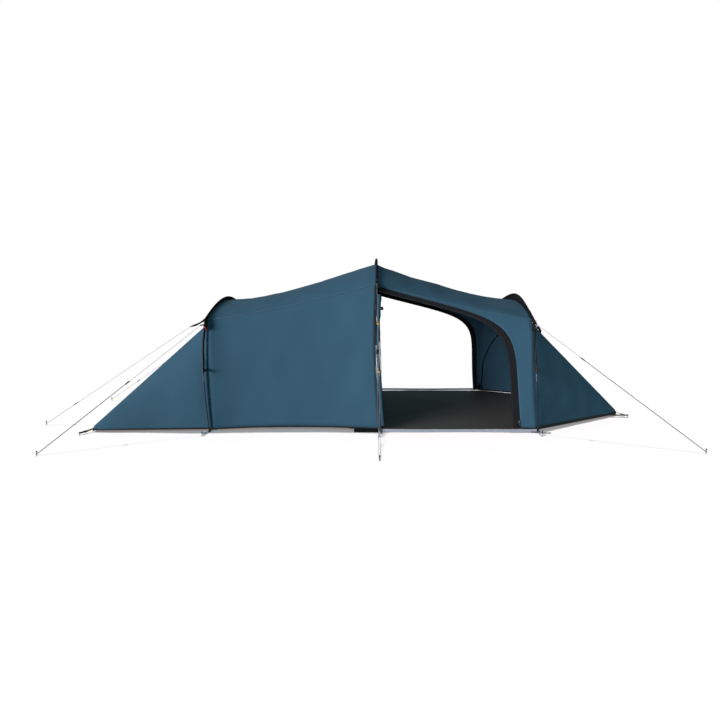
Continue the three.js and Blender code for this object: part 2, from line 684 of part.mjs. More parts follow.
for (const { name, from, peg, share } of GUYLINES) {
  const start = new THREE.Vector3(...from);
  const foot = new THREE.Vector3(peg[0], peg[1], LINE_HEIGHT);
  const along = foot.clone().sub(start).normalize();
  const across = new THREE.Vector3(-along.y, along.x, 0).normalize();
  const half = STRAND_GAP / 2;
  start.addScaledVector(across, half);
  const flat = new THREE.Vector3(along.x, along.y, 0).normalize();
  const runnerAt = start.clone().lerp(foot.clone().addScaledVector(across, half), share);
  const route = [start, runnerAt.clone()];
  for (let k = 0; k <= LOOP_STEPS; k += 1) {
    const a = (Math.PI * k) / LOOP_STEPS;
    const p = foot.clone().addScaledVector(across, half * Math.cos(a));
    route.push(p.addScaledVector(flat, half * Math.sin(a)));
  }
  const tail = runnerAt.clone().addScaledVector(across, -STRAND_GAP);
  route.push(tail.addScaledVector(along, TAIL));
  add(`guyline_${name}`, tube(route, CORD_R, 8), 0xc8c8cc, 0.8);

  const face = new THREE.Shape();
  const [w, d] = [RUNNER.width / 2, RUNNER.depth / 2];
  face.moveTo(-w + 2, -d);
  face.lineTo(w - 2, -d);
  face.lineTo(w, 0);
  face.lineTo(w - 2, d);
  face.lineTo(-w + 2, d);
  face.lineTo(-w, 0);
  face.closePath();
  for (const side of [-half, half]) {
    face.holes.push(new THREE.Path(polygon(RUNNER.hole, 6).map((v) => new THREE.Vector2(v.x + side, v.y))));
  }
  const runner = new THREE.ExtrudeGeometry(face, { depth: RUNNER.length, bevelEnabled: false });
  const mesh = add(`runner_${name}`, runner, 0x202024, 0.45);
  const back = along.clone().negate();
  const turn = new THREE.Matrix4().makeBasis(across, back.clone().cross(across), back);
  mesh.quaternion.setFromRotationMatrix(turn);
  mesh.position.copy(runnerAt).addScaledVector(across, -half).addScaledVector(along, RUNNER.length / 2);

  const profile = [
    [0, 0], [PEG.shaft * 0.7, 0], [PEG.shaft, 3], [PEG.shaft, PEG.neck], [PEG.head, PEG.neck + 2],
    [PEG.head, PEG.height - 1], [PEG.head - 2, PEG.height], [0, PEG.height],
  ].map(([r, h]) => new THREE.Vector2(r, h));
  const pin = add(`peg_${name}`, new THREE.LatheGeometry(profile, 8), 0x55585c, 0.4, 0.8);
  pin.rotation.x = Math.PI / 2;
  pin.position.set(foot.x, foot.y, 0);
}

export default tent;
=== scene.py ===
"""Looks of a pitched tunnel tent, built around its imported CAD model. Metres, +Z up, front at -Y."""
import math

import bpy
import numpy as np
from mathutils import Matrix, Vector


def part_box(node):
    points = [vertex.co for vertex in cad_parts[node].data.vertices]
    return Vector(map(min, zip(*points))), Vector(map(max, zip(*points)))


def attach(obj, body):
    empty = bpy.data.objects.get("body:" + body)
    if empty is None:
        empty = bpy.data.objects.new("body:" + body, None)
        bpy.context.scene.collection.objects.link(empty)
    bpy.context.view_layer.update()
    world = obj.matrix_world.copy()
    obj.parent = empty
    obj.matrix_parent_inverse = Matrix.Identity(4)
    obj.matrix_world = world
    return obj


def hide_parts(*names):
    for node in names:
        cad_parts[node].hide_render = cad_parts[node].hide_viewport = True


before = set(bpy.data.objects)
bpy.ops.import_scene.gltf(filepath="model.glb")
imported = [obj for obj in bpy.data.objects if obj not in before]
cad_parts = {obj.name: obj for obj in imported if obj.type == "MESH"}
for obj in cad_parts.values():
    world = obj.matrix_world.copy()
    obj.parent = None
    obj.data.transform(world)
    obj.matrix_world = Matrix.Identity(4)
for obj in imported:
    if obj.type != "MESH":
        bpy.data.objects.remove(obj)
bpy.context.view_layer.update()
BODY = "tent"

# ---- camera


def add_object(name, data):
    made = bpy.data.objects.new(name, data)
    bpy.context.scene.collection.objects.link(made)
    return made


def make_camera():
    data = bpy.data.cameras.new("camera")
    data.sensor_width, data.lens, data.clip_end = 36.0, 25.53, 100.0
    camera = add_object("camera", data)
    camera.location = (-0.103, -4.997, 1.035)
    camera.rotation_euler = (math.radians(83.567), 0.0, 0.0)
    bpy.context.scene.camera = camera


make_camera()

# ---- driving dimensions


class Hoop:
    """Where a hoop stands, how it leans and bows along X, its pole's curve and the pieces that meet it."""

    def __init__(self, **values):
        self.__dict__.update(values)

    def x_at(self, z):
        h = np.clip(z / self.top, 0, 1)
        return self.x + self.tilt * h**self.power + self.bow * np.sin(np.pi * h)


LEFT = Hoop(
    name="left", out=-1, x=-1.310, tilt=-0.066, power=1, bow=-0.006, skew=0.65, top=1.085, sleeve_end=0.830,
    spring=(1.000, 0.420), flank=(0.962, 0.700), elbow=(0.770, 0.912), rise=0.38, crown_bend=0.270,
    shoulder=(0.745, 0.888), side_bend=(0.925, 0.640), shoulder_bend=(0.670, 0.945), ridge_bend=0.330,
    ridge=1.060, corner=(-2.250, 0.985, 0.018), fold_out=0.026, hem_width=0.014, corner_peg=(0.052, 0.100),
    foot_peg=(-0.042, 0.055), tape_foot=0.49, tab="red",
    hood=dict(
        x=-1.580, tip_y=0.520, tip_z=0.828, crown=0.042, scallop=0.070, dip=0.016, wing=0.006, area=0.3,
    ),
)
MIDDLE = Hoop(
    name="centre", x=0.060, tilt=-0.007, power=1, bow=-0.038, skew=0.0, top=1.443, sleeve_end=1.160,
    spring=(1.005, 0.450), flank=(0.990, 0.850), elbow=(0.720, 1.185), rise=0.53, crown_bend=0.300,
    shoulder=(0.640, 1.192), side_bend=(0.905, 0.800), shoulder_bend=(0.560, 1.262), ridge_bend=0.290,
    ridge=1.400, foot_peg=(0.006, 0.044), tape_foot=0.70, tab="strap_dark",
)
RIGHT = Hoop(
    name="right", out=1, x=1.326, tilt=0.060, power=6, bow=-0.032, skew=-0.2, top=1.113, sleeve_end=0.830,
    spring=(1.000, 0.420), flank=(0.962, 0.700), elbow=(0.770, 0.905), rise=0.38, crown_bend=0.260,
    shoulder=(0.745, 0.893), side_bend=(0.920, 0.640), shoulder_bend=(0.670, 0.948), ridge_bend=0.330,
    ridge=1.062, corner=(2.250, 0.388, 0.025), fold_out=0.054, hem_width=0.026, corner_peg=(0.075, 0.066),
    foot_peg=(0.020, 0.030), tape_foot=0.49, tab="strap_dark",
    hood=dict(
        x=1.440, tip_y=0.650, tip_z=0.792, crown=0.112, scallop=0.036, dip=0.004, wing=0.034, area=0.22,
    ),
)
HOOPS = [LEFT, MIDDLE, RIGHT]
ENDS = [LEFT, RIGHT]
BAYS = [("sleeping", LEFT, MIDDLE), ("living", MIDDLE, RIGHT)]
SIDES = (-1, 1)
WAYS = [("front", -1), ("back", 1)]
LEGS = [(hoop, way) for hoop in HOOPS for way in SIDES]
END_LEGS = [(hoop, way) for hoop in ENDS for way in SIDES]
FOOT_Y = 1.000
HEM = (0.935, 0.015)
HEM_BAND = 0.014
SEAM_WIDTH = 0.012
SAG = dict(ridge=0.050, shoulder_y=0.018, shoulder_z=0.026, side=0.042, hem_y=0.038, hem_z=0.014, end=0.014)
SEAM_SHARE = 0.93  # of the hoop's side below the corner seam
ROOF_SHARE = 6 / 7  # of an end's top edge that lies on the hoop's roof
FOLD_SHARE, FOLD_RISE = 0.03, 0.016
DOOR = dict(front=0.905, back=0.965, head=0.975, roundness=4.8, band_x=0.044, band_t=0.052)
POLE_R = 0.00475
ELBOW_LEAD, CROWN_LEAD = 0.060, 0.210
CLOTH, STRAP = 0.0008, 0.0016  # thicknesses
BILLOW = dict(large=0.55, small=0.22, small_depth=0.35, margin=0.08)
PUCKER = dict(depth=0.0012, size=0.30, bend=2.6, up=55, over=40, reach=0.07, margin=0.06)
WALL_TIE = 0.22  # how far across an end wall its slanting tie runs, as a share

# ---- cords, with their runners and pegs

GUYLINES = [
    ("hood_front", (-1.588, -0.522, 0.823), (-2.771, -0.738), 0.80),
    ("hood_back", (-1.588, 0.522, 0.823), (-2.739, 0.348), 0.76),
    ("left_front", (-1.392, -0.868, 0.852), (-2.297, -1.625), 0.49),
    ("left_back", (-1.392, 0.868, 0.852), (-2.297, 1.625), 0.49),
    ("centre_front", (0.030, -0.764, 1.184), (0.027, -1.727), 0.44),
    ("centre_back", (0.030, 0.764, 1.184), (0.027, 1.727), 0.44),
    ("right_front", (1.334, -0.866, 0.850), (2.283, -1.570), 0.30),
    ("right_back", (1.334, 0.866, 0.850), (2.283, 1.570), 0.30),
]
CORD_D = 0.0026
LINE_HEIGHT = 0.012
STRAND_GAP = 0.011
TAIL = 0.012
RUNNER = dict(length=0.038, width=0.019, depth=0.008, grip=0.6, ribs=7)
PEG = dict(shaft=0.0026, head=0.0055, height=0.034, neck=0.027)


class Guyline:
    """A line from the tent through its runner, round its peg and back up to the runner."""

    def __init__(self, name, start, peg, share):
        self.name = name
        self.foot = Vector((peg[0], peg[1], LINE_HEIGHT))
        self.along = (self.foot - Vector(start)).normalized()
        self.across = Vector((-self.along.y, self.along.x, 0)).normalized()
        self.start = Vector(start) + self.across * (STRAND_GAP / 2)
        self.runner = self.start.lerp(self.foot + self.across * (STRAND_GAP / 2), share)

    def route(self):
        """Straight through the runner, half round the peg and back."""
        flat = Vector((self.along.x, self.along.y, 0)).normalized()
        half = STRAND_GAP / 2
        loop = []
        for k in range(7):
            turn = math.pi * k / 6
            loop.append(self.foot + self.across * half * math.cos(turn) + flat * half * math.sin(turn))
        tail = self.runner - self.across * STRAND_GAP + self.along * TAIL
        down = [self.start.lerp(self.runner, k / 5) for k in range(5)]
        down += [self.runner.lerp(loop[0], k / 5) for k in range(5)]
        return down + loop + [loop[-1].lerp(tail, k / 4) for k in range(1, 5)]

    def length(self):
        points = self.route()
        return sum((b - a).length for a, b in zip(points, points[1:]))


LINES = [Guyline(*line) for line in GUYLINES]

# ---- materials


class Shader:
    """A principled material whose nodes are wired by short calls."""

    def __init__(self, name, srgb, roughness, metallic=0.0, sheen=0.0, specular=0.5):
        self.material = bpy.data.materials.new(name)
        self.material.use_nodes = True
        self.tree = self.material.node_tree
        self.bsdf = self.tree.nodes["Principled BSDF"]
        self.srgb = srgb
        values = {"Base Color": linear(srgb), "Roughness": roughness, "Metallic": metallic}
        for key, value in {**values, "Sheen Weight": sheen, "Specular IOR Level": specular}.items():
            self.bsdf.inputs[key].default_value = value
        self.coordinates = self.tree.nodes.new("ShaderNodeTexCoord").outputs

    def node(self, kind, inputs, **settings):
        made = self.tree.nodes.new(kind)
        for key, value in settings.items():
            setattr(made, key, value)
        for key, value in inputs.items():
            if isinstance(value, bpy.types.NodeSocket):
                self.tree.links.new(value, made.inputs[key])
            else:
                made.inputs[key].default_value = value
        return made

    def noise(self, scale, detail, distortion=0.0):
        inputs = {"Vector": self.coordinates["Object"], "Scale": scale, "Detail": detail}
        return self.node("ShaderNodeTexNoise", {**inputs, "Distortion": distortion}).outputs["Fac"]

    def wave(self, scale, direction, where="UV", distortion=0.0):
        inputs = {"Vector": self.coordinates[where], "Scale": scale, "Distortion": distortion}
        return self.node("ShaderNodeTexWave", inputs, bands_direction=direction).outputs["Fac"]

    def weave(self, scale):
        return self.math("MAXIMUM", self.wave(scale, "X"), self.wave(scale, "Y"))

    def threads(self, scale, width):
        """A square grid of threads, a brick pattern without its offset."""
        inputs = {"Vector": self.coordinates["UV"], "Scale": scale, "Mortar Size": width}
        inputs.update({"Brick Width": 1.0, "Row Height": 1.0})
        return self.node("ShaderNodeTexBrick", inputs, offset=0.0).outputs["Fac"]

    def math(self, operation, a, b=0.0):
        return self.node("ShaderNodeMath", {0: a, 1: b}, operation=operation).outputs[0]

    def between(self, value, low, high):
        """value, from 0 to 1, spread from low to high."""
        inputs = {"Value": value, "To Min": low, "To Max": high}
        return self.node("ShaderNodeMapRange", inputs).outputs[0]

    def tint(self, share, srgb):
        """Mixes the colour so far with another one by share."""
        socket = self.bsdf.inputs["Base Color"]
        before = socket.links[0].from_socket if socket.is_linked else linear(self.srgb)
        mixed = self.node("ShaderNodeMix", {0: share, 6: before, 7: linear(srgb)}, data_type="RGBA")
        self.tree.links.new(mixed.outputs[2], socket)

    def tone(self, value, factor, most):
        """Tints with a darker or lighter tone of the base colour, by up to most where value is 1."""
        self.tint(self.between(value, 0.0, most), shade(self.srgb, factor))

    def bump(self, height, strength, distance):
        socket = self.bsdf.inputs["Normal"]
        inputs = {"Height": height, "Strength": strength, "Distance": distance}
        if socket.is_linked:
            inputs["Normal"] = socket.links[0].from_socket
        self.tree.links.new(self.node("ShaderNodeBump", inputs).outputs["Normal"], socket)

    def rough(self, value, low, high):
        self.tree.links.new(self.between(value, low, high), self.bsdf.inputs["Roughness"])


def linear(srgb):
    """An sRGB colour, 0 to 255, as linear RGBA."""
    shares = (c / 255 for c in srgb)
    return (*(c / 12.92 if c <= 0.04045 else ((c + 0.055) / 1.055) ** 2.4 for c in shares), 1.0)


def shade(srgb, factor):
    return tuple(min(255.0, c * factor) for c in srgb)


WAVE_PITCH = 0.314  # divided by a pitch in metres, the wave texture's scale


def woven(name, srgb, thread=0.0012, ripstop=0.0, vary=0.10, roughness=0.72, sheen=0.02, bump=0.25):
    """Coated cloth: its weave, a ripstop grid where asked, faint clouding and creases."""
    s = Shader(name, srgb, roughness, sheen=sheen, specular=0.1)
    clouds = s.noise(2.2, 3.0, distortion=0.6)
    s.tone(clouds, 0.72, 2 * vary)
    s.tone(s.noise(38.0, 4.0), 1.25, vary)
    s.bump(s.weave(WAVE_PITCH / thread), bump, 0.0002)
    if ripstop:
        grid = s.threads(1 / ripstop, 0.05)
        s.tint(s.math("MULTIPLY", grid, 0.22), shade(srgb, 1.3))
        s.bump(grid, 0.25, 0.0002)
    s.bump(s.noise(16.0, 5.0, distortion=1.2), 0.35, 0.0012)
    s.rough(clouds, roughness - 0.06, roughness + 0.08)
    return s.material


def webbing(name, srgb, pitch=0.0022):
    """Narrow woven tape: chevron ribs, worn a little lighter in places."""
    s = Shader(name, srgb, 0.7, sheen=0.1, specular=0.3)
    ribs = s.wave(WAVE_PITCH / pitch, "DIAGONAL", distortion=0.3)
    s.tone(ribs, 0.62, 0.35)
    s.tone(s.noise(60.0, 4.0), 1.35, 0.3)
    s.bump(ribs, 0.6, 0.0004)
    return s.material


def stitched(name, srgb, thread, rows, pitch=0.0045):
    """Seam tape with rows of stitches at the given places across it, in metres."""
    s = Shader(name, srgb, 0.75, sheen=0.1, specular=0.3)
    split = s.node("ShaderNodeSeparateXYZ", {0: s.coordinates["UV"]})
    along, over = split.outputs["X"], split.outputs["Y"]
    dash = s.math("LESS_THAN", s.math("FRACT", s.math("DIVIDE", along, pitch)), 0.68)
    for row in rows:
        near = s.math("LESS_THAN", s.math("ABSOLUTE", s.math("SUBTRACT", over, row)), 0.0006)
        stitch = s.math("MULTIPLY", near, dash)
        s.tint(stitch, thread)
        s.bump(stitch, 0.7, 0.0006)
    s.tone(s.noise(45.0, 4.0), 1.3, 0.22)
    s.bump(s.weave(260.0), 0.3, 0.0002)
    return s.material


def netting(name, srgb):
    """Fine mosquito mesh, drawn as a grid of threads over painted shade: its holes are a dark tone of the
    thread colour, standing for the dark seen through them.
    """
    # painted shade: the colour between the threads
    s = Shader(name, shade(srgb, 0.35), 0.85, specular=0.2)
    grid = s.threads(420.0, 0.16)
    s.tint(grid, srgb)
    s.bump(grid, 0.8, 0.0005)
    return s.material


def moulded(name, srgb, roughness=0.42):
    """Injection-moulded plastic: fine grain, with handling marks in its gloss."""
    s = Shader(name, srgb, roughness)
    marks = s.noise(90.0, 5.0)
    s.tone(marks, 1.5, 0.35)
    s.rough(marks, roughness - 0.1, roughness + 0.18)
    s.bump(s.noise(900.0, 2.0), 0.25, 0.0002)
    return s.material


def metal(name, srgb, roughness, metallic=0.9):
    """Drawn or cast metal: streaks along it, duller where it is rubbed."""
    s = Shader(name, srgb, roughness, metallic=metallic)
    streaks = s.noise(220.0, 3.0)
    s.tone(streaks, 1.35, 0.4)
    s.rough(s.noise(35.0, 4.0), roughness - 0.1, roughness + 0.2)
    s.bump(streaks, 0.15, 0.0002)
    return s.material


def braided(name, srgb, fleck):
    """Braided cord: crossing strands and a reflective fleck."""
    s = Shader(name, srgb, 0.6, sheen=0.1)
    braid = s.math("MAXIMUM", s.noise(700.0, 1.0), s.wave(140.0, "DIAGONAL", "Object"))
    s.tone(braid, 0.55, 0.5)
    s.tint(s.math("GREATER_THAN", s.noise(260.0, 1.0), 0.66), fleck)
    s.bump(braid, 0.6, 0.0004)
    return s.material


def ground(name):
    """A white studio floor that glows a little, so that only contact shadows show on it."""
    s = Shader(name, (232, 232, 232), 0.95, specular=0.1)
    s.bsdf.inputs["Emission Color"].default_value = (*GLOW, 1.0)
    s.bsdf.inputs["Emission Strength"].default_value = 1.0
    return s.material


GLOW = (0.235, 0.195, 0.195)
FLY = (57, 89, 110)
MAT = {
    "fly": woven("fly_cloth", FLY, ripstop=0.006, vary=0.10),
    "fly_roll": woven("rolled_cloth", shade(FLY, 0.95), ripstop=0.006, vary=0.16),
    "seam": stitched("seam_tape", shade(FLY, 0.97), shade(FLY, 1.35), (0.002, 0.008)),
    "hem": stitched("hem_tape", (20, 20, 22), (62, 62, 66), (0.002, 0.008)),
    "band": woven("band_cloth", (33, 32, 36), thread=0.0014, vary=0.12, roughness=0.8),
    "band_edge": stitched("band_edging", (24, 24, 27), (62, 62, 66), (0.003,)),
    "black": woven("sleeve_cloth", (15, 15, 17), thread=0.0016, vary=0.14, roughness=0.82, bump=0.5),
    "piping": stitched("hood_piping", (12, 12, 14), (50, 50, 54), (0.003,)),
    "net": netting("vent_net", (54, 56, 60)),
    "floor": woven("groundsheet_cloth", (94, 86, 85), thread=0.0016, vary=0.12, roughness=0.6),
    "inner": woven("inner_cloth", (176, 181, 186), thread=0.001, ripstop=0.005, vary=0.06, sheen=0.05),
    "inner_wall": woven("inner_wall_cloth", (120, 126, 132), thread=0.001, ripstop=0.005, vary=0.08),
    "strap": webbing("pale_webbing", (164, 163, 178)),
    # painted light: the same webbing as strap, made lighter for the straps at the feet, which the key light
    # hardly reaches
    "strap_painted_lit": webbing("light_webbing", (214, 212, 228)),
    "strap_dark": webbing("dark_webbing", (20, 20, 22)),
    "strap_tan": webbing("tan_webbing", (208, 158, 84)),
    "red": webbing("red_tab", (170, 26, 34)),
    "yellow": webbing("yellow_tab", (232, 160, 38)),
    "cream": braided("elastic_loop", (206, 204, 198), (236, 235, 230)),
    "cord": braided("guyline_braid", (58, 60, 64), (112, 113, 118)),
    # painted light: a lighter copy of the guyline cord for the centre lines, standing in for the light they
    # catch
    "cord_painted_lit": braided("pale_guyline_braid", (152, 152, 162), (206, 207, 212)),
    "pole": metal("pole_tube", (40, 37, 40), roughness=0.4, metallic=0.6),
    "ferrule": metal("pole_ferrule", (70, 67, 70), roughness=0.34, metallic=0.7),
    "peg": metal("peg_metal", (78, 79, 84), roughness=0.34),
    "zip": moulded("zip_coil", (34, 34, 37), 0.5),
    "slider": metal("zip_slider_metal", (92, 93, 97), roughness=0.32),
    "plastic": moulded("black_plastic", (20, 20, 22)),
    "buckle": moulded("grey_plastic", (58, 58, 62)),
}

# ---- points and paths

X, Y, Z = np.eye(3)
MIRROR = np.array([1, -1, 1])


def mix(a, b, s):
    return a + (b - a) * s


def swell(s):
    return 4 * s * (1 - s)


def fade(share, reach):
    """0 at both ends of a stretch and 1 past reach from them, smoothly."""
    d = np.clip(np.minimum(share, 1 - share) / reach, 0, 1)
    return d * d * (3 - 2 * d)


def shares(count):
    return np.linspace(0, 1, count)


def turns(count):
    return np.linspace(0, 2 * np.pi, count)


def xyz(x, y, z):
    return np.stack(np.broadcast_arrays(x, y, z), -1)


def unit(v):
    return v / np.linalg.norm(v, axis=-1, keepdims=True)


def arc(centre, a, b, angles):
    """Points round a centre, a being the direction and radius at angle 0 and b at a quarter turn."""
    return centre + np.cos(angles)[:, None] * a + np.sin(angles)[:, None] * b


def between(start, end, count):
    return mix(np.asarray(start), np.asarray(end), shares(count)[:, None])


def run_of(path):
    """The length along a path up to each of its points."""
    return np.concatenate([[0], np.cumsum(np.linalg.norm(np.diff(path, axis=0), axis=1))])


def pick(at, run, values):
    """Vectors given at the lengths in run, read off at other lengths."""
    return np.stack([np.interp(at, run, values[:, k]) for k in range(3)], -1)


def frames(points):
    """Tangents and two side directions along a path, turning as little as possible."""
    tangent = unit(np.gradient(points, axis=0))
    side = np.cross(tangent[0], Z)
    if np.linalg.norm(side) < 0.1:
        side = np.cross(tangent[0], Y)
    sides = []
    for t in tangent:
        side = unit(side - np.dot(side, t) * t)
        sides.append(side)
    return tangent, np.array(sides), np.cross(tangent, sides)


def normals(points, core):
    """Unit normals of a grid, on the side away from core."""
    n = np.cross(np.gradient(points, axis=0), np.gradient(points, axis=1))
    n = n / np.maximum(np.linalg.norm(n, axis=-1, keepdims=True), 1e-12)
    return n * np.where(np.sum(n * (points - core), axis=-1, keepdims=True) < 0, -1, 1)


def billow(points, seed, size, depth):
    """A smooth random field: waves of about the given size crossing each other."""
    random = np.random.RandomState(seed)
    total = np.zeros(points.shape[:-1])
    for _ in range(7):
        way = unit(random.normal(size=3))
        reach = size * random.uniform(0.6, 1.6)
        total += np.sin(points @ way * (2 * np.pi / reach) + random.uniform(0, 2 * np.pi))
    return depth * total / 2.6


# ---- meshes


MOULD_WELD = 0.00001  # how close a moulded form's caps lie to its sides before they are joined


class Shape:
    """Collects grids of points as one mesh with UVs in metres and a material for each grid."""

    def __init__(self):
        self.points, self.faces, self.uvs, self.mats = [], [], [], []
        self.count = 0

    def add(self, points, faces, uvs, material):
        self.points.append(points.reshape(-1, 3))
        self.faces += [[i + self.count for i in face] for face in faces]
        self.uvs += uvs
        self.mats += [material] * len(faces)
        self.count += len(self.points[-1])

    def grid(self, points, material, close=False, uv=None):
        """A sheet of quads; close joins its last row to its first."""
        n, m = points.shape[:2]
        uv = lengths(points) if uv is None else uv
        faces, uvs = [], []
        for i in range(n - 1 + close):
            k = (i + 1) % n
            for j in range(m - 1):
                faces.append([i * m + j, k * m + j, k * m + j + 1, i * m + j + 1])
                uvs.append([uv[c] for c in ((i, j), (k, j), (k, j + 1), (i, j + 1))])
        self.add(points, faces, uvs, material)

    def loft(self, rings, material, uv=None):
        """Quads between closed rings, capped at both ends; uv has one column more than the rings."""
        n, m = rings.shape[:2]
        uv = lengths(np.concatenate([rings, rings[:, :1]], 1)) if uv is None else uv
        faces, uvs = [], []
        for i in range(n - 1):
            for j in range(m):
                k = (j + 1) % m
                faces.append([i * m + j, i * m + k, (i + 1) * m + k, (i + 1) * m + j])
                uvs.append([uv[c] for c in ((i, j), (i, j + 1), (i + 1, j + 1), (i + 1, j))])
        faces += [list(range(m))[::-1], list(range((n - 1) * m, n * m))]
        uvs += [[(0.0, 0.0)] * m] * 2
        self.add(rings, faces, uvs, material)

    def mould(self, rings, material):
        """A closed form through the rings with a cap at both ends, to be welded when built."""
        m = rings.shape[1]
        self.grid(np.swapaxes(rings, 0, 1), material, close=True)
        for ring, order in ((rings[0], range(m)[::-1]), (rings[-1], range(m))):
            self.add(ring, [list(order)], [[(0.0, 0.0)] * m], material)

    def build(self, name, slot, *nodes, body=BODY, weld=0.0, flat_angle=None, thick=0.0, offset=0.0):
        """Makes the piece, gives it thickness and lets it ride its body in place of the nodes."""
        mesh = bpy.data.meshes.new(name)
        mesh.from_pydata(np.concatenate(self.points).tolist(), [], self.faces)
        used = list(dict.fromkeys(self.mats))
        for key in used:
            mesh.materials.append(MAT[key])
        mesh.polygons.foreach_set("material_index", [used.index(key) for key in self.mats])
        layer = mesh.uv_layers.new(name="UVMap")
        layer.data.foreach_set("uv", np.array([c for face in self.uvs for c in face], float).ravel())
        made = add_object(name, mesh)
        if weld:
            made.modifiers.new("weld", "WELD").merge_threshold = weld
            apply_modifiers(made)
        made.data.shade_smooth()
        if flat_angle:
            made.data.set_sharp_from_angle(angle=math.radians(flat_angle))
        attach(made, body)
        if thick:
            solid = made.modifiers.new("solidify", "SOLIDIFY")
            solid.thickness, solid.offset, solid.use_even_offset = thick, offset, False
            apply_modifiers(made)
        if nodes:
            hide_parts(*nodes)
        return made


def lengths(points):
    """UVs of a grid: the mean length along it and across it."""
    u, v = (
        np.concatenate([[0], np.cumsum(np.linalg.norm(np.diff(points, axis=k), axis=2).mean(axis=1 - k))])
        for k in (0, 1)
    )
    return np.stack(np.meshgrid(u, v, indexing="ij"), -1)


def apply_modifiers(obj):
    mesh = bpy.data.meshes.new_from_object(obj.evaluated_get(bpy.context.evaluated_depsgraph_get()))
    obj.modifiers.clear()
    obj.data = mesh


def tube(shape, path, radius, material, sides=8):
    """A round tube along a path, closed at both ends."""
    path = np.asarray(path, float)
    turn = turns(sides + 1)[:-1, None]
    _, side, up = frames(path)
    ring = side[:, None] * np.cos(turn) + up[:, None] * np.sin(turn)
    shape.loft(path[:, None] + ring * radius, material)


def ribbon(shape, path, side, normal, width, thickness, material):
    """A flat strap along a path: side and normal are one direction or one for each point."""
    path = np.asarray(path, float)
    side, normal = (unit(np.broadcast_to(np.asarray(v, float), path.shape)) for v in (side, normal))
    half, thick = width / 2, thickness / 2
    bevel = min(half, thickness) * 0.35
    top = [(half, thick - bevel), (half - bevel, thick), (-half + bevel, thick), (-half, thick - bevel)]
    section = [(a, -b) for a, b in top[::-1]] + top
    over = [a + half for a, _ in section + section[:1]]
    uv = np.stack(np.meshgrid(run_of(path), over, indexing="ij"), -1)
    shape.loft(np.stack([path + side * a + normal * b for a, b in section], 1), material, uv)


def lathe(shape, centre, axis, profile, material, sides=20):
    """A turned piece: profile is (radius, height) from one end of the axis to the other."""
    axis = unit(np.asarray(axis, float))
    side = unit(np.cross(axis, X if abs(axis[0]) < 0.9 else Y))
    turn = turns(sides + 1)
    ring = arc(0, side, np.cross(axis, side), turn[:-1])
    uv = np.array([[(a * 0.01, h) for a in turn] for _, h in profile])
    shape.loft(np.array([centre + axis * h + ring * r for r, h in profile]), material, uv)


# ---- the flysheet's surface


def quadratic(a, b, c, t):
    return (1 - t) ** 2 * a + 2 * (1 - t) * t * b + t**2 * c


def cubic(a, b, c, d, t):
    return (1 - t) ** 3 * a + 3 * (1 - t) ** 2 * t * b + 3 * (1 - t) * t**2 * c + t**3 * d


def shoulder(a, b, s):
    k = swell(s)
    y = mix(a.shoulder[0], b.shoulder[0], s) - SAG["shoulder_y"] * k
    return y, mix(a.shoulder[1], b.shoulder[1], s) - SAG["shoulder_z"] * k


def side_point(a, b, s, t, way):
    """A point of the side, t = 0 at the hem and 1 at the shoulder seam."""
    k = swell(s)
    top_y, top_z = shoulder(a, b, s)
    bend_y = mix(a.side_bend[0], b.side_bend[0], s) - SAG["side"] * k
    bend_z = mix(a.side_bend[1], b.side_bend[1], s)
    y = quadratic(HEM[0] - SAG["hem_y"] * k, bend_y, top_y, t)
    z = quadratic(HEM[1] + SAG["hem_z"] * k, bend_z, top_z, t)
    return np.stack([mix(a.x_at(z), b.x_at(z), s), way * y, z], -1)


def roof_point(a, b, s, w):
    """A point of the roof, w = -1 at the front shoulder seam, 0 on the ridge and 1 at the back."""
    k = swell(s)
    t = 1 - np.abs(w)
    top_y, top_z = shoulder(a, b, s)
    bend_y = mix(a.shoulder_bend[0], b.shoulder_bend[0], s)
    bend_z = mix(a.shoulder_bend[1], b.shoulder_bend[1], s) - SAG["shoulder_z"] * k
    ridge = mix(a.ridge, b.ridge, s) - SAG["ridge"] * k * (1 + (a.skew + b.skew) * (1 - 2 * s))
    y = cubic(top_y, bend_y, mix(a.ridge_bend, b.ridge_bend, s), 0.0, t)
    z = cubic(top_z, bend_z, ridge, ridge, t)
    return np.stack([mix(a.x_at(z), b.x_at(z), s), np.sign(w) * y, z], -1)


def living_side(s, t, way):
    return side_point(MIDDLE, RIGHT, s, t, way)


def hoop_side(hoop, t, way):
    """The side at a hoop."""
    t = np.asarray(t, float)
    return side_point(hoop, hoop, np.zeros_like(t), t, way)


def hoop_skin(hoop, t):
    """The flysheet's section at a hoop, over the stretch t of each side and the roof between them."""
    front = hoop_side(hoop, t, -1)
    roof = roof_point(hoop, hoop, np.zeros_like(W), W)
    return np.concatenate([front, roof[1:-1], front[::-1] * MIRROR])


def tent_core(points):
    """For each point, the place inside the tent that the cloth faces away from."""
    return 0.72 * X * points + 0.23 * Z


def corner_point(hoop, way, lift):
    """Above an end's corner, where its side, its slope and the ground meet."""
    x, y, z = hoop.corner
    return xyz(x, way * y, z + lift)


def drape(points, seed, i_share, j_share, depth=0.0045):
    """Gives a taut panel its life: slow billows and short puckers that run out from its seams."""
    out = normals(points, tent_core(points))
    edge = fade(i_share, BILLOW["margin"]) * fade(j_share, BILLOW["margin"])
    slow = billow(points, seed, BILLOW["large"], depth)
    slow += billow(points, seed + 1, BILLOW["small"], depth * BILLOW["small_depth"])
    bend = billow(points, seed + 2, PUCKER["size"], PUCKER["bend"])
    creases = np.sin(bend + points[..., 2] * PUCKER["up"] + points[..., 1] * PUCKER["over"])
    creases *= PUCKER["depth"] * np.exp(-np.minimum(i_share, 1 - i_share) / PUCKER["reach"])
    short = creases * fade(i_share, PUCKER["margin"]) * fade(j_share, PUCKER["margin"])
    return points + out * (slow * edge + short)[..., None]


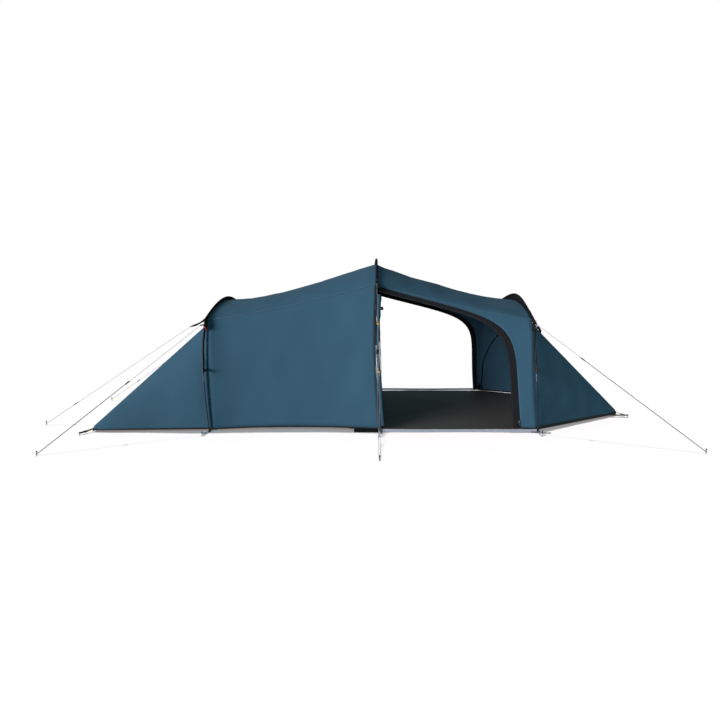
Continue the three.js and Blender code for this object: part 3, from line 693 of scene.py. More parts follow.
# Samples of the panels' shares: S along a bay, T up a side (LOW and HIGH meet at the corner seam), W over
# the roof, Q round a doorway so that it meets S and T on the seams, and END from a hoop out to its corner.
S = shares(57)
LOW = np.linspace(0, SEAM_SHARE, 42)
HIGH = np.linspace(SEAM_SHARE, 1, 5)
T = np.concatenate([LOW, HIGH[1:]])
W = np.linspace(-1, 1, 77)
Q = np.unique(np.round(np.concatenate([S / 2, 0.5 + (1 - T[::-1]) / 2]), 9))
FOLD_ROWS = 5
END = np.concatenate([np.linspace(0, FOLD_SHARE, FOLD_ROWS), np.linspace(FOLD_SHARE, 1, 40)[1:]])


def door_edge(q, reach, grow):
    """The doorway's outline in shares (s, t) of the living side; grow moves it by band widths."""
    s0 = reach + grow * DOOR["band_x"]
    t0 = DOOR["head"] + grow * DOOR["band_t"]
    n = DOOR["roundness"]
    corner = 0.5 ** (1 / n)
    over, down = 2 * q * corner, 2 * (1 - q) * corner
    s = np.where(q < 0.5, s0 * over, s0 * np.clip(1 - down**n, 0, 1) ** (1 / n))
    t = np.where(q < 0.5, t0 * np.clip(1 - over**n, 0, 1) ** (1 / n), t0 * down)
    return s, t


def door_zone(name, way, inner, outer, rows):
    """A grid between two outlines of the doorway, given in band widths; None is the side's own border."""
    q = Q[:, None]
    s0, t0 = door_edge(q, DOOR[name], inner)
    border = np.where(q < 0.5, 2 * q, 1.0), np.where(q < 0.5, 1.0, 2 * (1 - q))
    s1, t1 = border if outer is None else door_edge(q, DOOR[name], outer)
    j = shares(rows)[None, :]
    return living_side(mix(s0, s1, j), np.clip(mix(t0, t1, j), 0, 1), way)


def end_wall(hoop, way):
    """The end's upright face on one side, from the hoop to the corner peg."""
    foot = corner_point(hoop, way, HEM_BAND * LOW / SEAM_SHARE)
    wall = mix(hoop_side(hoop, LOW, way)[None], foot[None], END[:, None, None])
    return drape(wall, 40 + way + (hoop is RIGHT), END[:, None], (LOW / SEAM_SHARE)[None, :], 0.006)


def end_slope(hoop):
    """The end's sloping face with the vent panel above its fold, and each column's place across it."""
    top = hoop_skin(hoop, HIGH)
    edge = mix(1.0, ROOF_SHARE, (HIGH - SEAM_SHARE) / (1 - SEAM_SHARE))
    w = np.concatenate([-edge, W[1:-1] * ROOF_SHARE, edge[::-1]])
    middle = 1 - w * w
    fold = mix(hoop_side(hoop, SEAM_SHARE, 1), corner_point(hoop, 1, HEM_BAND), FOLD_SHARE)
    crease = xyz(fold[0] + hoop.out * hoop.fold_out * middle, w * fold[1], fold[2] + FOLD_RISE * middle)
    low = corner_point(hoop, w, HEM_BAND)
    rows = [mix(top, crease, share / FOLD_SHARE) for share in END[:FOLD_ROWS]]
    for share in END[FOLD_ROWS:]:
        down = (share - FOLD_SHARE) / (1 - FOLD_SHARE)
        rows.append(mix(crease, low, down) - (SAG["end"] * swell(down) * middle)[:, None] * Z)
    return np.array(rows), w


def make_flysheet():
    """One continuous sheet over all the hoops, with its doorways, sloping ends and vent panels."""
    shape = Shape()
    s, t, w = S[:, None], T[None, :], W[None, :]
    for seed, (_, a, b) in enumerate(BAYS):
        shape.grid(drape(roof_point(a, b, s, w), 10 + seed, s, (w + 1) / 2), "fly")
    for seed, (name, way) in enumerate(WAYS):
        shape.grid(drape(side_point(LEFT, MIDDLE, s, t, way), 20 + seed, s, t), "fly")
        living = door_zone(name, way, 0.0, None, 9)
        shape.grid(drape(living, 30 + seed, Q[:, None], shares(9)[None, :], 0.0025), "fly")
    for seed, hoop in enumerate(ENDS):
        for way in SIDES:
            shape.grid(end_wall(hoop, way), "fly")
        points, across = end_slope(hoop)
        points = drape(points, 50 + seed, END[:, None], (across[None, :] + 1) / 2, 0.005)
        shape.grid(points[:FOLD_ROWS], "net")
        shape.grid(points[FOLD_ROWS - 1:], "fly")
    nodes = [f"roof_{name}" for name, _, _ in BAYS]
    nodes += [f"side_{way}_{name}" for way, _ in WAYS for name, _, _ in BAYS]
    nodes += [f"end_{hoop.name}_{part}" for hoop in ENDS for part in ("front", "back", "slope")]
    fly = shape.build("flysheet", "fly_side", *nodes, weld=0.0004, thick=CLOTH, offset=-1.0)


# ---- seams, hems and door bands


def cloth_frame(line):
    """Tangents of a line on the flysheet, and directions square to them that point out of the cloth."""
    tangent = unit(np.gradient(line, axis=0))
    out = line - tent_core(line)
    return tangent, unit(out - np.sum(out * tangent, axis=1, keepdims=True) * tangent)


def strip_along(shape, line, width, material, lift=0.0006, thickness=0.0009):
    """A tape sewn along a line of the flysheet, flat on the cloth."""
    line = np.asarray(line, float)
    tangent, out = cloth_frame(line)
    ribbon(shape, line + out * lift, np.cross(tangent, out), out, width, thickness, material)


def make_seams():
    """Flat-felled seams on the shoulders and down the ends' corners."""
    shape = Shape()
    for _, a, b in BAYS:
        for way in SIDES:
            strip_along(shape, side_point(a, b, S, np.ones_like(S), way), SEAM_WIDTH, "seam")
    for hoop, way in END_LEGS:
        top = hoop_side(hoop, SEAM_SHARE, way)
        foot = mix(top, corner_point(hoop, way, HEM_BAND), 0.985)
        strip_along(shape, between(top, foot, 40), SEAM_WIDTH, "seam")
    shape.build("fly_seams", "fly_side", flat_angle=40)


def make_lining():
    """Inside the flysheet: tape behind the hoop and corner seams, and a tie up each right end wall."""
    shape = Shape()
    for hoop in HOOPS:
        strip_along(shape, hoop_skin(hoop, T), 0.008, "seam", -0.0050, 0.001)
    for hoop, way in END_LEGS:
        wall = end_wall(hoop, way)
        strip_along(shape, wall[3:-1, -1], 0.010, "band", -0.0035, 0.001)
        if hoop is RIGHT:
            tie = [wall_place(wall, 0.006 + WALL_TIE * k**0.8, 0.03 + 0.95 * k) for k in shares(60)]
            strip_along(shape, tie, 0.011, "black", -0.0034, 0.001)
    shape.build("fly_lining_tape", "black_fabric", flat_angle=40)


def wall_place(wall, across, up):
    """The point of an end wall's grid at shares across it, from the hoop, and up it."""
    row, column = across * (len(wall) - 1), up * (wall.shape[1] - 1)
    i, j = int(row), int(column)
    near = mix(wall[i, j], wall[i + 1, j], row - i)
    return mix(near, mix(wall[i, j + 1], wall[i + 1, j + 1], row - i), column - j)


# A foot patch's height and lowest edge as shares of the side, its widths as shares of a bay and of an end
# wall, and how far inside the cloth it lies.
PATCH = dict(height=0.085, hem=0.004, bay=0.055, wall=0.075, inset=0.0028)


def make_foot_patches():
    """Triangular patches inside the hem, beside the feet of the hoops."""
    shape = Shape()
    u, v = shares(9)[:, None], shares(9)[None, :]
    height = PATCH["hem"] + PATCH["height"] * v
    for way in SIDES:
        for a, b, s0 in ((MIDDLE, RIGHT, 1.0), (LEFT, MIDDLE, 0.0), (LEFT, MIDDLE, 1.0)):
            s = np.abs(s0 - PATCH["bay"] * u * (1 - v))
            t = PATCH["hem"] + PATCH["height"] * v * (1 - 0.15 * u)
            shape.grid(side_point(a, b, s, t, way) - way * PATCH["inset"] * Y, "black")
        for hoop in ENDS:
            wall = end_wall(hoop, way)
            across = PATCH["wall"] * u * (1 - v)
            rows = [[wall_place(wall, *place) for place in zip(row, height[0])] for row in across]
            shape.grid(np.array(rows) - way * PATCH["inset"] * Y, "black")
    shape.build("foot_patches", "black_fabric", thick=0.0008)


def make_hems():
    """Black binding along every bottom edge of the flysheet."""
    shape = Shape()

    def bind(line, normal, width=SEAM_WIDTH):
        ribbon(shape, line, Z, normal, width, 0.0026, "hem")

    for name, way in WAYS:
        reach = float(door_edge(np.array(1.0), DOOR[name], 0.0)[0])
        bind(hem_line(LEFT, MIDDLE, S, way), way * Y)
        bind(hem_line(MIDDLE, RIGHT, np.linspace(reach, 1, 12), way), way * Y)
    for hoop in ENDS:
        for way in SIDES:
            line = between(hoop_side(hoop, 0.0, way), corner_point(hoop, way, 0.0), 24)
            bind(line + way * 0.001 * Y + 0.003 * Z, way * Y, hoop.hem_width)
        bind(corner_point(hoop, np.linspace(-1, 1, 16), HEM_BAND - 0.012), hoop.out * X, 2 * HEM_BAND)
    shape.build("fly_hems", "black_fabric", flat_angle=40)


def hem_line(a, b, s, way):
    line = side_point(a, b, s, np.zeros_like(s), way)
    line[:, 2] = np.maximum(line[:, 2] - 0.003, 0.0075)
    return line


def make_door_band(name, way):
    """The dark facing round a doorway, with its zip along the inner edge."""
    shape, edging = Shape(), Shape()
    points = door_zone(name, way, -1.0, 0.02, 7)
    lift = 0.0012 + billow(points, 60 + way, 0.12, 0.0008)
    shape.grid(points + normals(points, tent_core(points)) * lift[..., None], "band")
    band = shape.build(f"band_{name}", "band", f"door_band_{name}", thick=0.0012, offset=-1.0)
    for grow in (-0.97, -0.02):
        strip_along(edging, door_line(name, way, grow, 140), 0.006, "band_edge", 0.0024, 0.0012)
    edging.build(f"band_edging_{name}", "band", flat_angle=40)
    make_zip(name, way)


def door_line(name, way, grow, count):
    s, t = door_edge(shares(count), DOOR[name], grow)
    return living_side(np.clip(s, 0, 1), np.clip(t, 0, 1), way)


ZIP = dict(place=-0.82, tape=0.012, turns=650, sides=8, lift=0.0044, deep=0.0014, wide=0.0022, wire=0.0004)


def make_zip(name, way):
    """The open half of the doorway's zip: a tape and its row of coils."""
    shape = Shape()
    line = door_line(name, way, ZIP["place"], 180)
    strip_along(shape, line, ZIP["tape"], "zip", 0.0026, 0.001)
    along, out = cloth_frame(line)
    at = np.linspace(0, len(line) - 1, ZIP["turns"] * ZIP["sides"])
    run, along, out = (pick(at, range(len(line)), values) for values in (line, along, out))
    turn = np.arange(len(at)) * (2 * np.pi / ZIP["sides"])
    coil = run + out * (ZIP["lift"] + ZIP["deep"] * np.sin(turn))[:, None]
    coil += np.cross(along, out) * (ZIP["wide"] * np.cos(turn))[:, None]
    tube(shape, coil, ZIP["wire"], "zip", sides=3)
    shape.build(f"zip_{name}", "zip")


# ---- poles and sleeves

POLE_SECTIONS = 8
POLE_TIP = [(0.002, 0.0005), (0.0058, 0.003), (0.0058, 0.024), (0.0052, 0.027), (0.0052, 0.03)]
SLEEVE = dict(radius=0.0084, tall=1.12, lift=0.0005, gap=0.0007, flange=0.0014, neck=0.0016, stations=330)
CUFF = dict(radius=0.0098, wall=0.0012, length=0.024)


def pole_path(hoop):
    """A pole's centre line, from its front foot over the elbows and the crown to its back foot."""
    leg, bend, crown = shares(14)[:-1], shares(34)[:-1], shares(46)
    (elbow_y, elbow_z), (spring_y, spring_z), (flank_y, flank_z) = hoop.elbow, hoop.spring, hoop.flank
    y = np.concatenate([
        mix(FOOT_Y, spring_y, leg),
        cubic(spring_y, flank_y, elbow_y + ELBOW_LEAD, elbow_y, bend),
        cubic(elbow_y, elbow_y - CROWN_LEAD, hoop.crown_bend, 0.0, crown),
    ])
    z = np.concatenate([
        mix(0.0004, spring_z, leg),
        cubic(spring_z, flank_z, elbow_z - ELBOW_LEAD * hoop.rise, elbow_z, bend),
        cubic(elbow_z, elbow_z + CROWN_LEAD * hoop.rise, hoop.top, hoop.top, crown),
    ])
    y, z = np.concatenate([-y, y[-2::-1]]), np.concatenate([z, z[-2::-1]])
    return np.stack([hoop.x_at(z), y, z], -1)


def pole_leg(hoop, way):
    """One half of a pole's centre line, from the foot up."""
    leg = hoop.path[np.sign(hoop.path[:, 1]) == way]
    return leg[np.argsort(leg[:, 2])]


def pole_at(hoop, height, way):
    """The pole's point nearest to a height, on one leg."""
    leg = pole_leg(hoop, way)
    return leg[np.argmin(np.abs(leg[:, 2] - height))]


def make_pole(hoop):
    """Sections of tube joined by ferrules, with a turned tip at each foot."""
    run = run_of(hoop.path)
    shape = Shape()
    tube(shape, hoop.path, POLE_R, "pole", sides=16)
    for k in range(1, POLE_SECTIONS):
        middle = run[-1] * k / POLE_SECTIONS
        piece = pick(np.linspace(middle - 0.03, middle + 0.03, 6), run, hoop.path)
        tube(shape, piece, POLE_R + 0.0006, "ferrule", sides=16)
    for foot in (hoop.path[0], hoop.path[-1]):
        lathe(shape, foot * (X + Y), Z, POLE_TIP, "plastic")
    shape.build(f"hoop_pole_{hoop.name}", "pole", f"pole_{hoop.name}", flat_angle=50)


for hoop in HOOPS:
    hoop.path = pole_path(hoop)


def reach_skin(chain, p, d):
    """Distance in the hoop's plane from p along d to the flysheet's section."""
    a, e = chain[:-1], np.diff(chain, axis=0)
    cross = d[0] * e[:, 1] - d[1] * e[:, 0]
    cross = np.where(np.abs(cross) < 1e-9, 1e-9, cross)
    w = a - p
    along = (w[:, 0] * e[:, 1] - w[:, 1] * e[:, 0]) / cross
    share = (w[:, 0] * d[1] - w[:, 1] * d[0]) / cross
    return along[(along > 0) & (share > -0.01) & (share < 1.01)].min()


def make_sleeve(hoop):
    """The pole's tunnel of cloth, gathered over the curve, with its flange sewn to the flysheet."""
    chain = hoop_skin(hoop, T)[:, 1:]
    run = run_of(hoop.path)
    kept = run[hoop.path[:, 2] >= hoop.sleeve_end]
    dense = np.linspace(kept[0], kept[-1], SLEEVE["stations"])
    at, along = (pick(dense, run, values) for values in (hoop.path, frames(hoop.path)[0]))
    over = np.radians(np.linspace(-62, 242, 17))
    around = np.linspace(over[0], over[0] + 2 * np.pi, len(over) + 4, endpoint=False)
    hole = POLE_R + SLEEVE["gap"]
    outer, inner = [], []
    for p, t, d in zip(at, along, dense):
        up = unit(np.array([0, -t[2], t[1]]))
        drop = reach_skin(chain, p[1:], -up[1:]) - 0.0006
        r = SLEEVE["radius"] + 0.0007 * math.sin(d * 310) + 0.0005 * math.sin(d * 173 + 1)
        waist = p - up * min(drop, max(0.011, drop * 0.6)) + 0.0012 * math.sin(d * 61) * X
        seam = p - up * drop
        flange = [
            waist - SLEEVE["neck"] * X, seam - SLEEVE["flange"] * X,
            seam + SLEEVE["flange"] * X, waist + SLEEVE["neck"] * X,
        ]
        tunnel = arc(p + SLEEVE["lift"] * up, r * X, SLEEVE["tall"] * r * up, over)
        outer.append(np.concatenate([tunnel, flange]))
        inner.append(arc(p, hole * X, hole * up, around))
    outer, inner = np.array(outer), np.array(inner)
    shape = Shape()
    for rings, order in ((outer, outer), (inner, inner[::-1])):
        uv = np.stack(np.meshgrid(run_of(rings.mean(0)), dense - dense[0], indexing="ij"), -1)
        shape.grid(np.swapaxes(order, 0, 1), "black", close=True, uv=uv)
    for rim in ([inner[0], outer[0]], [outer[-1], inner[-1]]):
        shape.grid(np.stack(rim, 1), "black", close=True)
    shape.build(f"sleeve_{hoop.name}", "black_fabric", f"pole_sleeve_{hoop.name}", weld=0.00002)
    cuffs = Shape()
    for end, way in ((0, 1), (-1, -1)):
        cuff(cuffs, at[end], along[end], way)
    cuffs.build(f"sleeve_cuffs_{hoop.name}", "black_fabric", flat_angle=50)


def cuff(shape, p, along, way):
    """A reinforced cuff round the sleeve's mouth."""
    up = np.array([0, -along[2], along[1]])
    over = np.radians(np.linspace(-50, 230, 15))
    rings = []
    radii = CUFF["radius"], CUFF["radius"] - CUFF["wall"]
    for at in between(p, p + along * way * CUFF["length"], 3):
        outer, inner = (arc(at, r * X, SLEEVE["tall"] * r * up, over) for r in radii)
        rings.append(np.concatenate([outer, inner[::-1]]))
    shape.grid(np.swapaxes(rings, 0, 1), "piping", close=True)


# ---- hoods

HOOD = dict(span=0.93, root_lift=0.008, root_lean=0.022, root_out=0.0095, cloth=0.0012, rim=0.0034)
HOOD_CREASES = dict(depth=0.0018, turns=24, size=0.3, bend=1.5)


def hood_grid(hoop, rows=17, columns=81):
    """A hood's cloth, from its root on the sleeve to its rim."""
    hood = hoop.hood
    w = np.linspace(-HOOD["span"], HOOD["span"], columns)
    turn = w / HOOD["span"] * np.pi / 2
    root = roof_point(hoop, hoop, np.zeros_like(w), w)
    root[:, 2] += HOOD["root_lift"]
    root[:, 0] = hoop.x_at(root[:, 2] + HOOD["root_lean"]) + hoop.out * HOOD["root_out"]
    rim = np.stack([
        hood["x"] - hoop.out * hood["scallop"] * np.cos(turn), hood["tip_y"] * np.sin(turn),
        hood["tip_z"] + hood["crown"] * np.cos(turn),
    ], -1)
    i = shares(rows)[:, None]
    points = mix(root[None], rim[None], i[..., None])
    points[..., 2] -= hood["dip"] * swell(i)
    bend = billow(points, 71, HOOD_CREASES["size"], HOOD_CREASES["bend"])
    creases = HOOD_CREASES["depth"] * np.sin(w * HOOD_CREASES["turns"] + bend) * swell(i)
    points[..., 2] += creases * fade((w + 1) / 2, 0.1)
    return points


def make_hood(hoop):
    """A hood that springs from the sleeve and stands out over the vent, bound round its rim."""
    name = hoop.name
    points = hood_grid(hoop)
    shape, rim = Shape(), Shape()
    shape.grid(points, "black")
    made = shape.build(f"hood_{name}", "black_fabric", f"vent_hood_{name}", thick=HOOD["cloth"])
    edge = np.concatenate([points[:, 0], points[-1, 1:-1], points[::-1, -1]])
    tube(rim, edge, HOOD["rim"], "piping")
    rim.build(f"hood_rim_{name}", "black_fabric")
    for column, side in ((0, "front"), (-1, "back")):
        drop = np.linspace(0.4, 1.0, len(points))[:, None]
        hang = [points[:, column] - k * hoop.hood["wing"] * Z * drop for k in (0.0, 0.5, 1.0)]
        flap = Shape()
        flap.grid(np.stack(hang, 1), "black")
        flap.build(f"hood_flap_{name}_{side}", "black_fabric", thick=HOOD["cloth"])


# ---- rolled doors

ROLL = dict(share=0.021, foot=0.012, top=0.9, depth=0.016, turns=5, core=0.006, radius=0.018)
TOGGLE_HEIGHTS = {"lower": 0.33, "upper": 0.66}
TOGGLE_STAND = 0.032
TOGGLE_HALF = [(0.0030, 0.003), (0.0042, 0.005), (0.0042, 0.009), (0.0034, 0.0118), (0.0012, 0.013)]
LOOP_WIRE = 0.0012
BALL = dict(height=0.985, stand=0.026, radius=0.0150, half=0.0155)
PULL = dict(top=0.72, foot=0.47, gap=0.0035, radius=0.0026)
PULL_HOLDER = [(0.002, -0.010), (0.0055, -0.008), (0.0062, 0.0), (0.0055, 0.008), (0.002, 0.010)]
PULL_KNOT = [(0.0015, -0.006), (0.0042, -0.003), (0.0042, 0.003), (0.0015, 0.006)]


def roll_centre(t, way):
    t = np.asarray(t, float)
    return living_side(np.full_like(t, ROLL["share"]), t, way) - way * ROLL["depth"] * Y


def roll_at_height(height, way):
    """The rolled door's centre at a height, found along the side's curve."""
    line = roll_centre(shares(200), way)
    return pick(height, line[:, 2], line)


def waists(at, ties, depth, reach):
    """How far a roll is drawn in along its length, by ties at the given places."""
    return 1 - depth * np.exp(-((at[:, None] - np.array(ties)) / reach) ** 2).sum(1)


def spiral(centre, angle, radius, wide, deep):
    """A roll round a centre line that stands up: its radius is given for each point and angle."""
    x = centre[:, None, 0] + wide * radius * np.cos(angle)
    y = centre[:, None, 1] + deep * radius * np.sin(angle)
    return xyz(x, y, centre[:, None, 2])


def make_roll(name, way):
    """The door's cloth, rolled up against the middle hoop and waisted where its loops hold it."""
    angle = ROLL["turns"] * turns(130)
    share = angle / angle[-1]
    t = np.linspace(ROLL["foot"], ROLL["top"], 84)
    along = swell(shares(84))
    waist = (waists(t, list(TOGGLE_HEIGHTS.values()), 0.30, 0.035) * (1 - 0.12 * along))[:, None]
    lumps = 0.0012 * np.sin(angle * 1.3 + t[:, None] * 34) + 0.0009 * np.sin(t[:, None] * 90 + angle * 2)
    radius = (mix(ROLL["core"], ROLL["radius"], share) + lumps * share) * waist
    points = spiral(roll_centre(t, way), angle, radius, 1.05, 0.85 * way)
    points[..., 2] += 0.004 * np.sin(angle * 0.5) * along[:, None]
    shape, edge = Shape(), Shape()
    shape.grid(points, "fly_roll")
    roll = shape.build(f"rolled_door_{name}", "fly_side", f"door_roll_{name}", thick=0.0006)
    tube(edge, points[:, -1], 0.002, "strap_dark")
    edge.build(f"rolled_door_edge_{name}", "black_fabric")


def make_toggle(name, way, which):
    """A bar toggle in its elastic loop, which holds the rolled door, with the loop's end and yellow tab."""
    centre = roll_centre(TOGGLE_HEIGHTS[which], way)
    out = way * Y
    node = f"toggle_{name}_{which}"
    bar, loop = Shape(), Shape()
    profile = [(r, -h) for r, h in TOGGLE_HALF[::-1]] + TOGGLE_HALF
    lathe(bar, centre + TOGGLE_STAND * out, X, profile, "plastic")
    bar.build(f"toggle_bar_{name}_{which}", "toggle", node, body=node, flat_angle=40)
    turn = turns(44)
    ring = arc(centre, 0.0150 * X, 0.0135 * out, turn) + 0.001 * np.sin(3 * turn)[:, None] * Z
    tube(loop, ring, 0.0013, "cream")
    for offset in (-0.0022, 0.0022):
        start = centre + 0.0125 * out + offset * Z
        tube(loop, between(start, start + (TOGGLE_STAND - 0.0171) * out, 5), LOOP_WIRE, "cream")
    k = np.arange(9)
    hang = centre + xyz(0.004, way * (0.020 + 0.004 * np.sin(k / 3)), -0.002 - 0.006 * k)
    tube(loop, hang, LOOP_WIRE, "cream")
    tag = centre + xyz(-0.005, way * 0.021, 0.005 - 0.009 * k[:4])
    ribbon(loop, tag, X, out, 0.014, 0.0012, "yellow")
    loop.build(f"toggle_loop_{name}_{which}", "cord", flat_angle=40)


def make_door_ties(name, way):
    """By the rolled door: a ball toggle on its loop at the top, and a pair of pull cords from a holder."""
    shape = Shape()
    high = roll_at_height(BALL["height"], way)
    ball = high + BALL["stand"] * X + way * 0.006 * Y
    tube(shape, between(high + 0.012 * X + 0.004 * Z, ball, 5), 0.0014, "strap_dark")
    angles = np.linspace(0.02, np.pi - 0.02, 13)
    profile = [(BALL["radius"] * math.sin(a), -BALL["half"] * math.cos(a)) for a in angles]
    lathe(shape, ball, (1, 0, 0.1), profile, "plastic")
    top = roll_at_height(PULL["top"], way) + 0.012 * X + way * 0.018 * Y
    lathe(shape, top, Z, PULL_HOLDER, "plastic", sides=12)
    foot = roll_at_height(PULL["foot"], way) + 0.016 * X + way * 0.024 * Y
    for offset in (-PULL["gap"], PULL["gap"]):
        bow = offset * (1 + 0.5 * np.sin(5 * shares(16)))
        tube(shape, between(top, foot, 16) + bow[:, None] * X, PULL["radius"], "cream")
    lathe(shape, foot, Z, PULL_KNOT, "plastic", sides=12)
    shape.build(f"door_ties_{name}", "cord", flat_angle=45)


# ---- door zip sliders

SLIDER = dict(in_band=-0.12, low=0.985, high=0.8, stand=0.0085, start=0.018)
SLIDER_OUTLINE = [
    (-0.0052, -0.0085), (0.0052, -0.0085), (0.0055, 0.0), (0.0036, 0.0092), (-0.0036, 0.0092),
    (-0.0055, 0.0),
]
SLIDER_LAYERS = [(-0.0012, 0.82), (-0.0004, 1.0), (0.0020, 1.0), (0.0030, 0.8)]  # lift, share of outline


def make_slider(name, way):
    """The door zip's slider with its bridge, pull tab and cord tail."""
    s, t = door_edge(np.array([SLIDER["low"], SLIDER["high"]]), DOOR[name], SLIDER["in_band"])
    low, high = living_side(s, t, way)
    up = unit(high - low)
    face = unit(way * Y - way * up[1] * up)
    side = np.cross(up, face)
    at = low + face * SLIDER["stand"] + up * SLIDER["start"]
    shape = Shape()
    rings = [
        [at + side * a * grow + up * b * grow + face * lift for a, b in SLIDER_OUTLINE]
        for lift, grow in SLIDER_LAYERS
    ]
    shape.mould(np.array(rings), "slider")
    bridge = arc(at + face * 0.0028, up * 0.006, face * 0.0022, np.linspace(0, np.pi, 9))
    tube(shape, bridge, 0.0009, "slider")
    tab = [at - up * (0.004 + 0.0042 * k) + face * (0.0042 - 0.0002 * k) for k in range(6)]
    ribbon(shape, tab, side, face, 0.0052, 0.0013, "slider")
    tail = [at - up * (0.025 + 0.005 * k) + face * 0.0034 + side * 0.0012 * math.sin(k) for k in range(5)]
    tube(shape, tail, 0.0013, "strap_dark")
    node = f"zip_slider_{name}"
    shape.build(f"slider_{name}", "zip", node, body=node, weld=MOULD_WELD, flat_angle=35)


# ---- floors and inner tent

INNER = dict(
    front=-0.200, foot=-2.060, half=0.860, power=2.3, sag=0.018, hangers=4, inset=0.004, cloth=0.0006,
    door_half=0.330, door_foot=0.090, door_top=0.900, roll=0.0145, roll_core=0.005,
)
INNER_STATIONS = [
    (-0.2006, 1.225), (-0.520, 1.120), (-0.900, 1.030), (-1.320, 0.880), (-1.560, 0.600), (-1.800, 0.350),
    (-1.990, 0.170), (-2.060, 0.060),
]
INNER_TIES = (0.30, 0.58)
FLOOR_TOP = 0.0032


def inner_section(height, w):
    a = (np.pi / 2) * (1 - np.abs(w))
    round_off = 2 / INNER["power"]
    y = INNER["half"] * np.sign(w) * np.cos(a) ** round_off
    return y, FLOOR_TOP + height * np.sin(a) ** round_off


def make_floor(name, node, outline):
    """A groundsheet over an outline of (x, half width): faint creases, and an edge turned up a little."""
    xs, halves = np.array(outline).T
    x = np.linspace(xs[0], xs[-1], 90)[:, None]
    v = np.linspace(-1, 1, 61)
    points = xyz(x, np.interp(x, xs, halves) * v, 0.0)
    creases = np.abs(billow(points, 80, 0.35, 0.0010)) + np.abs(billow(points, 81, 0.9, 0.0008))
    edge = np.clip((np.abs(v) - 0.975) / 0.025, 0, 1)
    points[..., 2] = 0.0012 + np.clip(creases, 0, 0.0018) + 0.006 * edge
    shape = Shape()
    shape.grid(points, "floor")
    made = shape.build(name, "groundsheet", node, thick=CLOTH, offset=-1.0)


def make_inner():
    """The inner tent: a light cloth arch hung inside the sleeping half."""
    share = shares(71)[:, None]
    places = shares(len(INNER_STATIONS))
    x, height = (np.interp(share, places, values) for values in zip(*INNER_STATIONS))
    w = np.linspace(-1, 1, 61)
    points = xyz(x, *inner_section(height, w))
    hang = -INNER["sag"] * np.abs(np.sin(share * np.pi * INNER["hangers"])) * (1 - w**2)
    ends = fade(share, 0.04)
    sag = (hang + billow(points, 90, 0.4, 0.006)) * ends * fade((w + 1) / 2, 0.06)
    sag -= INNER["inset"] * ends
    shape = Shape()
    shape.grid(points + normals(points, points * X + 0.1 * Z) * sag[..., None], "inner")
    body = shape.build("inner_tent", "inner", "inner_body", thick=INNER["cloth"], offset=-1.0)


def make_inner_wall():
    """The inner tent's front wall round its zipped doorway, with a band of netting over the door."""
    front, half, foot = INNER["front"] + 0.0006, INNER["door_half"], INNER["door_foot"]
    spring = INNER["door_top"] - half
    share = shares(121)
    turn = np.pi * (1 - np.clip((share - 0.25) / 0.5, 0, 1))
    legs = np.clip(np.abs(share - 0.5) / 0.25 - 1, 0, 1)
    hole = xyz(front, half * np.cos(turn), spring + half * np.sin(turn) - (spring - foot) * legs)
    outer = xyz(front, *inner_section(INNER_STATIONS[0][1] - 0.006, np.linspace(-1, 1, 121)))
    r = shares(17)[:, None]
    points = mix(hole[None], outer[None], r[..., None])
    points[..., 0] += billow(points, 95, 0.3, 0.003) * swell(r)
    shape, trim = Shape(), Shape()
    shape.grid(points[:12], "inner_wall")
    shape.grid(points[11:], "net")
    across = np.linspace(-1, 1, 41)
    low, top = xyz(front, across * INNER["half"], FLOOR_TOP), xyz(front, across * half, foot)
    shape.grid(mix(low[None], top[None], shares(7)[:, None, None]), "inner_wall")
    cloth = INNER["cloth"]
    wall = shape.build("inner_wall", "inner_wall", "inner_front_wall", weld=0.0001, thick=cloth)
    outward = np.cross(np.gradient(hole, axis=0), X)
    ribbon(trim, hole + 0.002 * X, outward, X, 0.012, 0.0014, "zip")
    trim.build("inner_door_zip", "zip", flat_angle=40)


def make_inner_roll():
    """The inner tent's door, rolled up and tied beside its doorway."""
    low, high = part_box("inner_door_roll")
    z = np.linspace(low[2], high[2], 60)
    angle = 4 * turns(90)
    radius = mix(INNER["roll_core"], INNER["roll"], angle / angle[-1])
    radius = radius * waists(z, INNER_TIES, 0.25, 0.03)[:, None]
    roll = Shape()
    centre = xyz((low[0] + high[0]) / 2, (low[1] + high[1]) / 2, z)
    roll.grid(spiral(centre, angle, radius, 1.0, 1.1), "inner_wall")
    made = roll.build("inner_door_rolled", "inner_wall", "inner_door_roll", thick=0.0005)


# ---- guylines, runners and pegs


def make_cord(line):
    curve = bpy.data.curves.new(f"guy_{line.name}", "CURVE")
    curve.dimensions, curve.use_fill_caps = "3D", True
    curve.bevel_depth, curve.bevel_resolution = CORD_D / 2, 3
    points = line.route()
    spline = curve.splines.new("POLY")
    spline.points.add(len(points) - 1)
    for point, place in zip(spline.points, points):
        point.co = (*place, 1.0)
    # the centre lines take the lighter copy of the cord, which is painted light
    curve.materials.append(MAT["cord_painted_lit" if line.name.startswith("centre") else "cord"])
    made = add_object(f"guy_{line.name}", curve)
    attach(made, BODY)
    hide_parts(f"guyline_{line.name}")
    return made


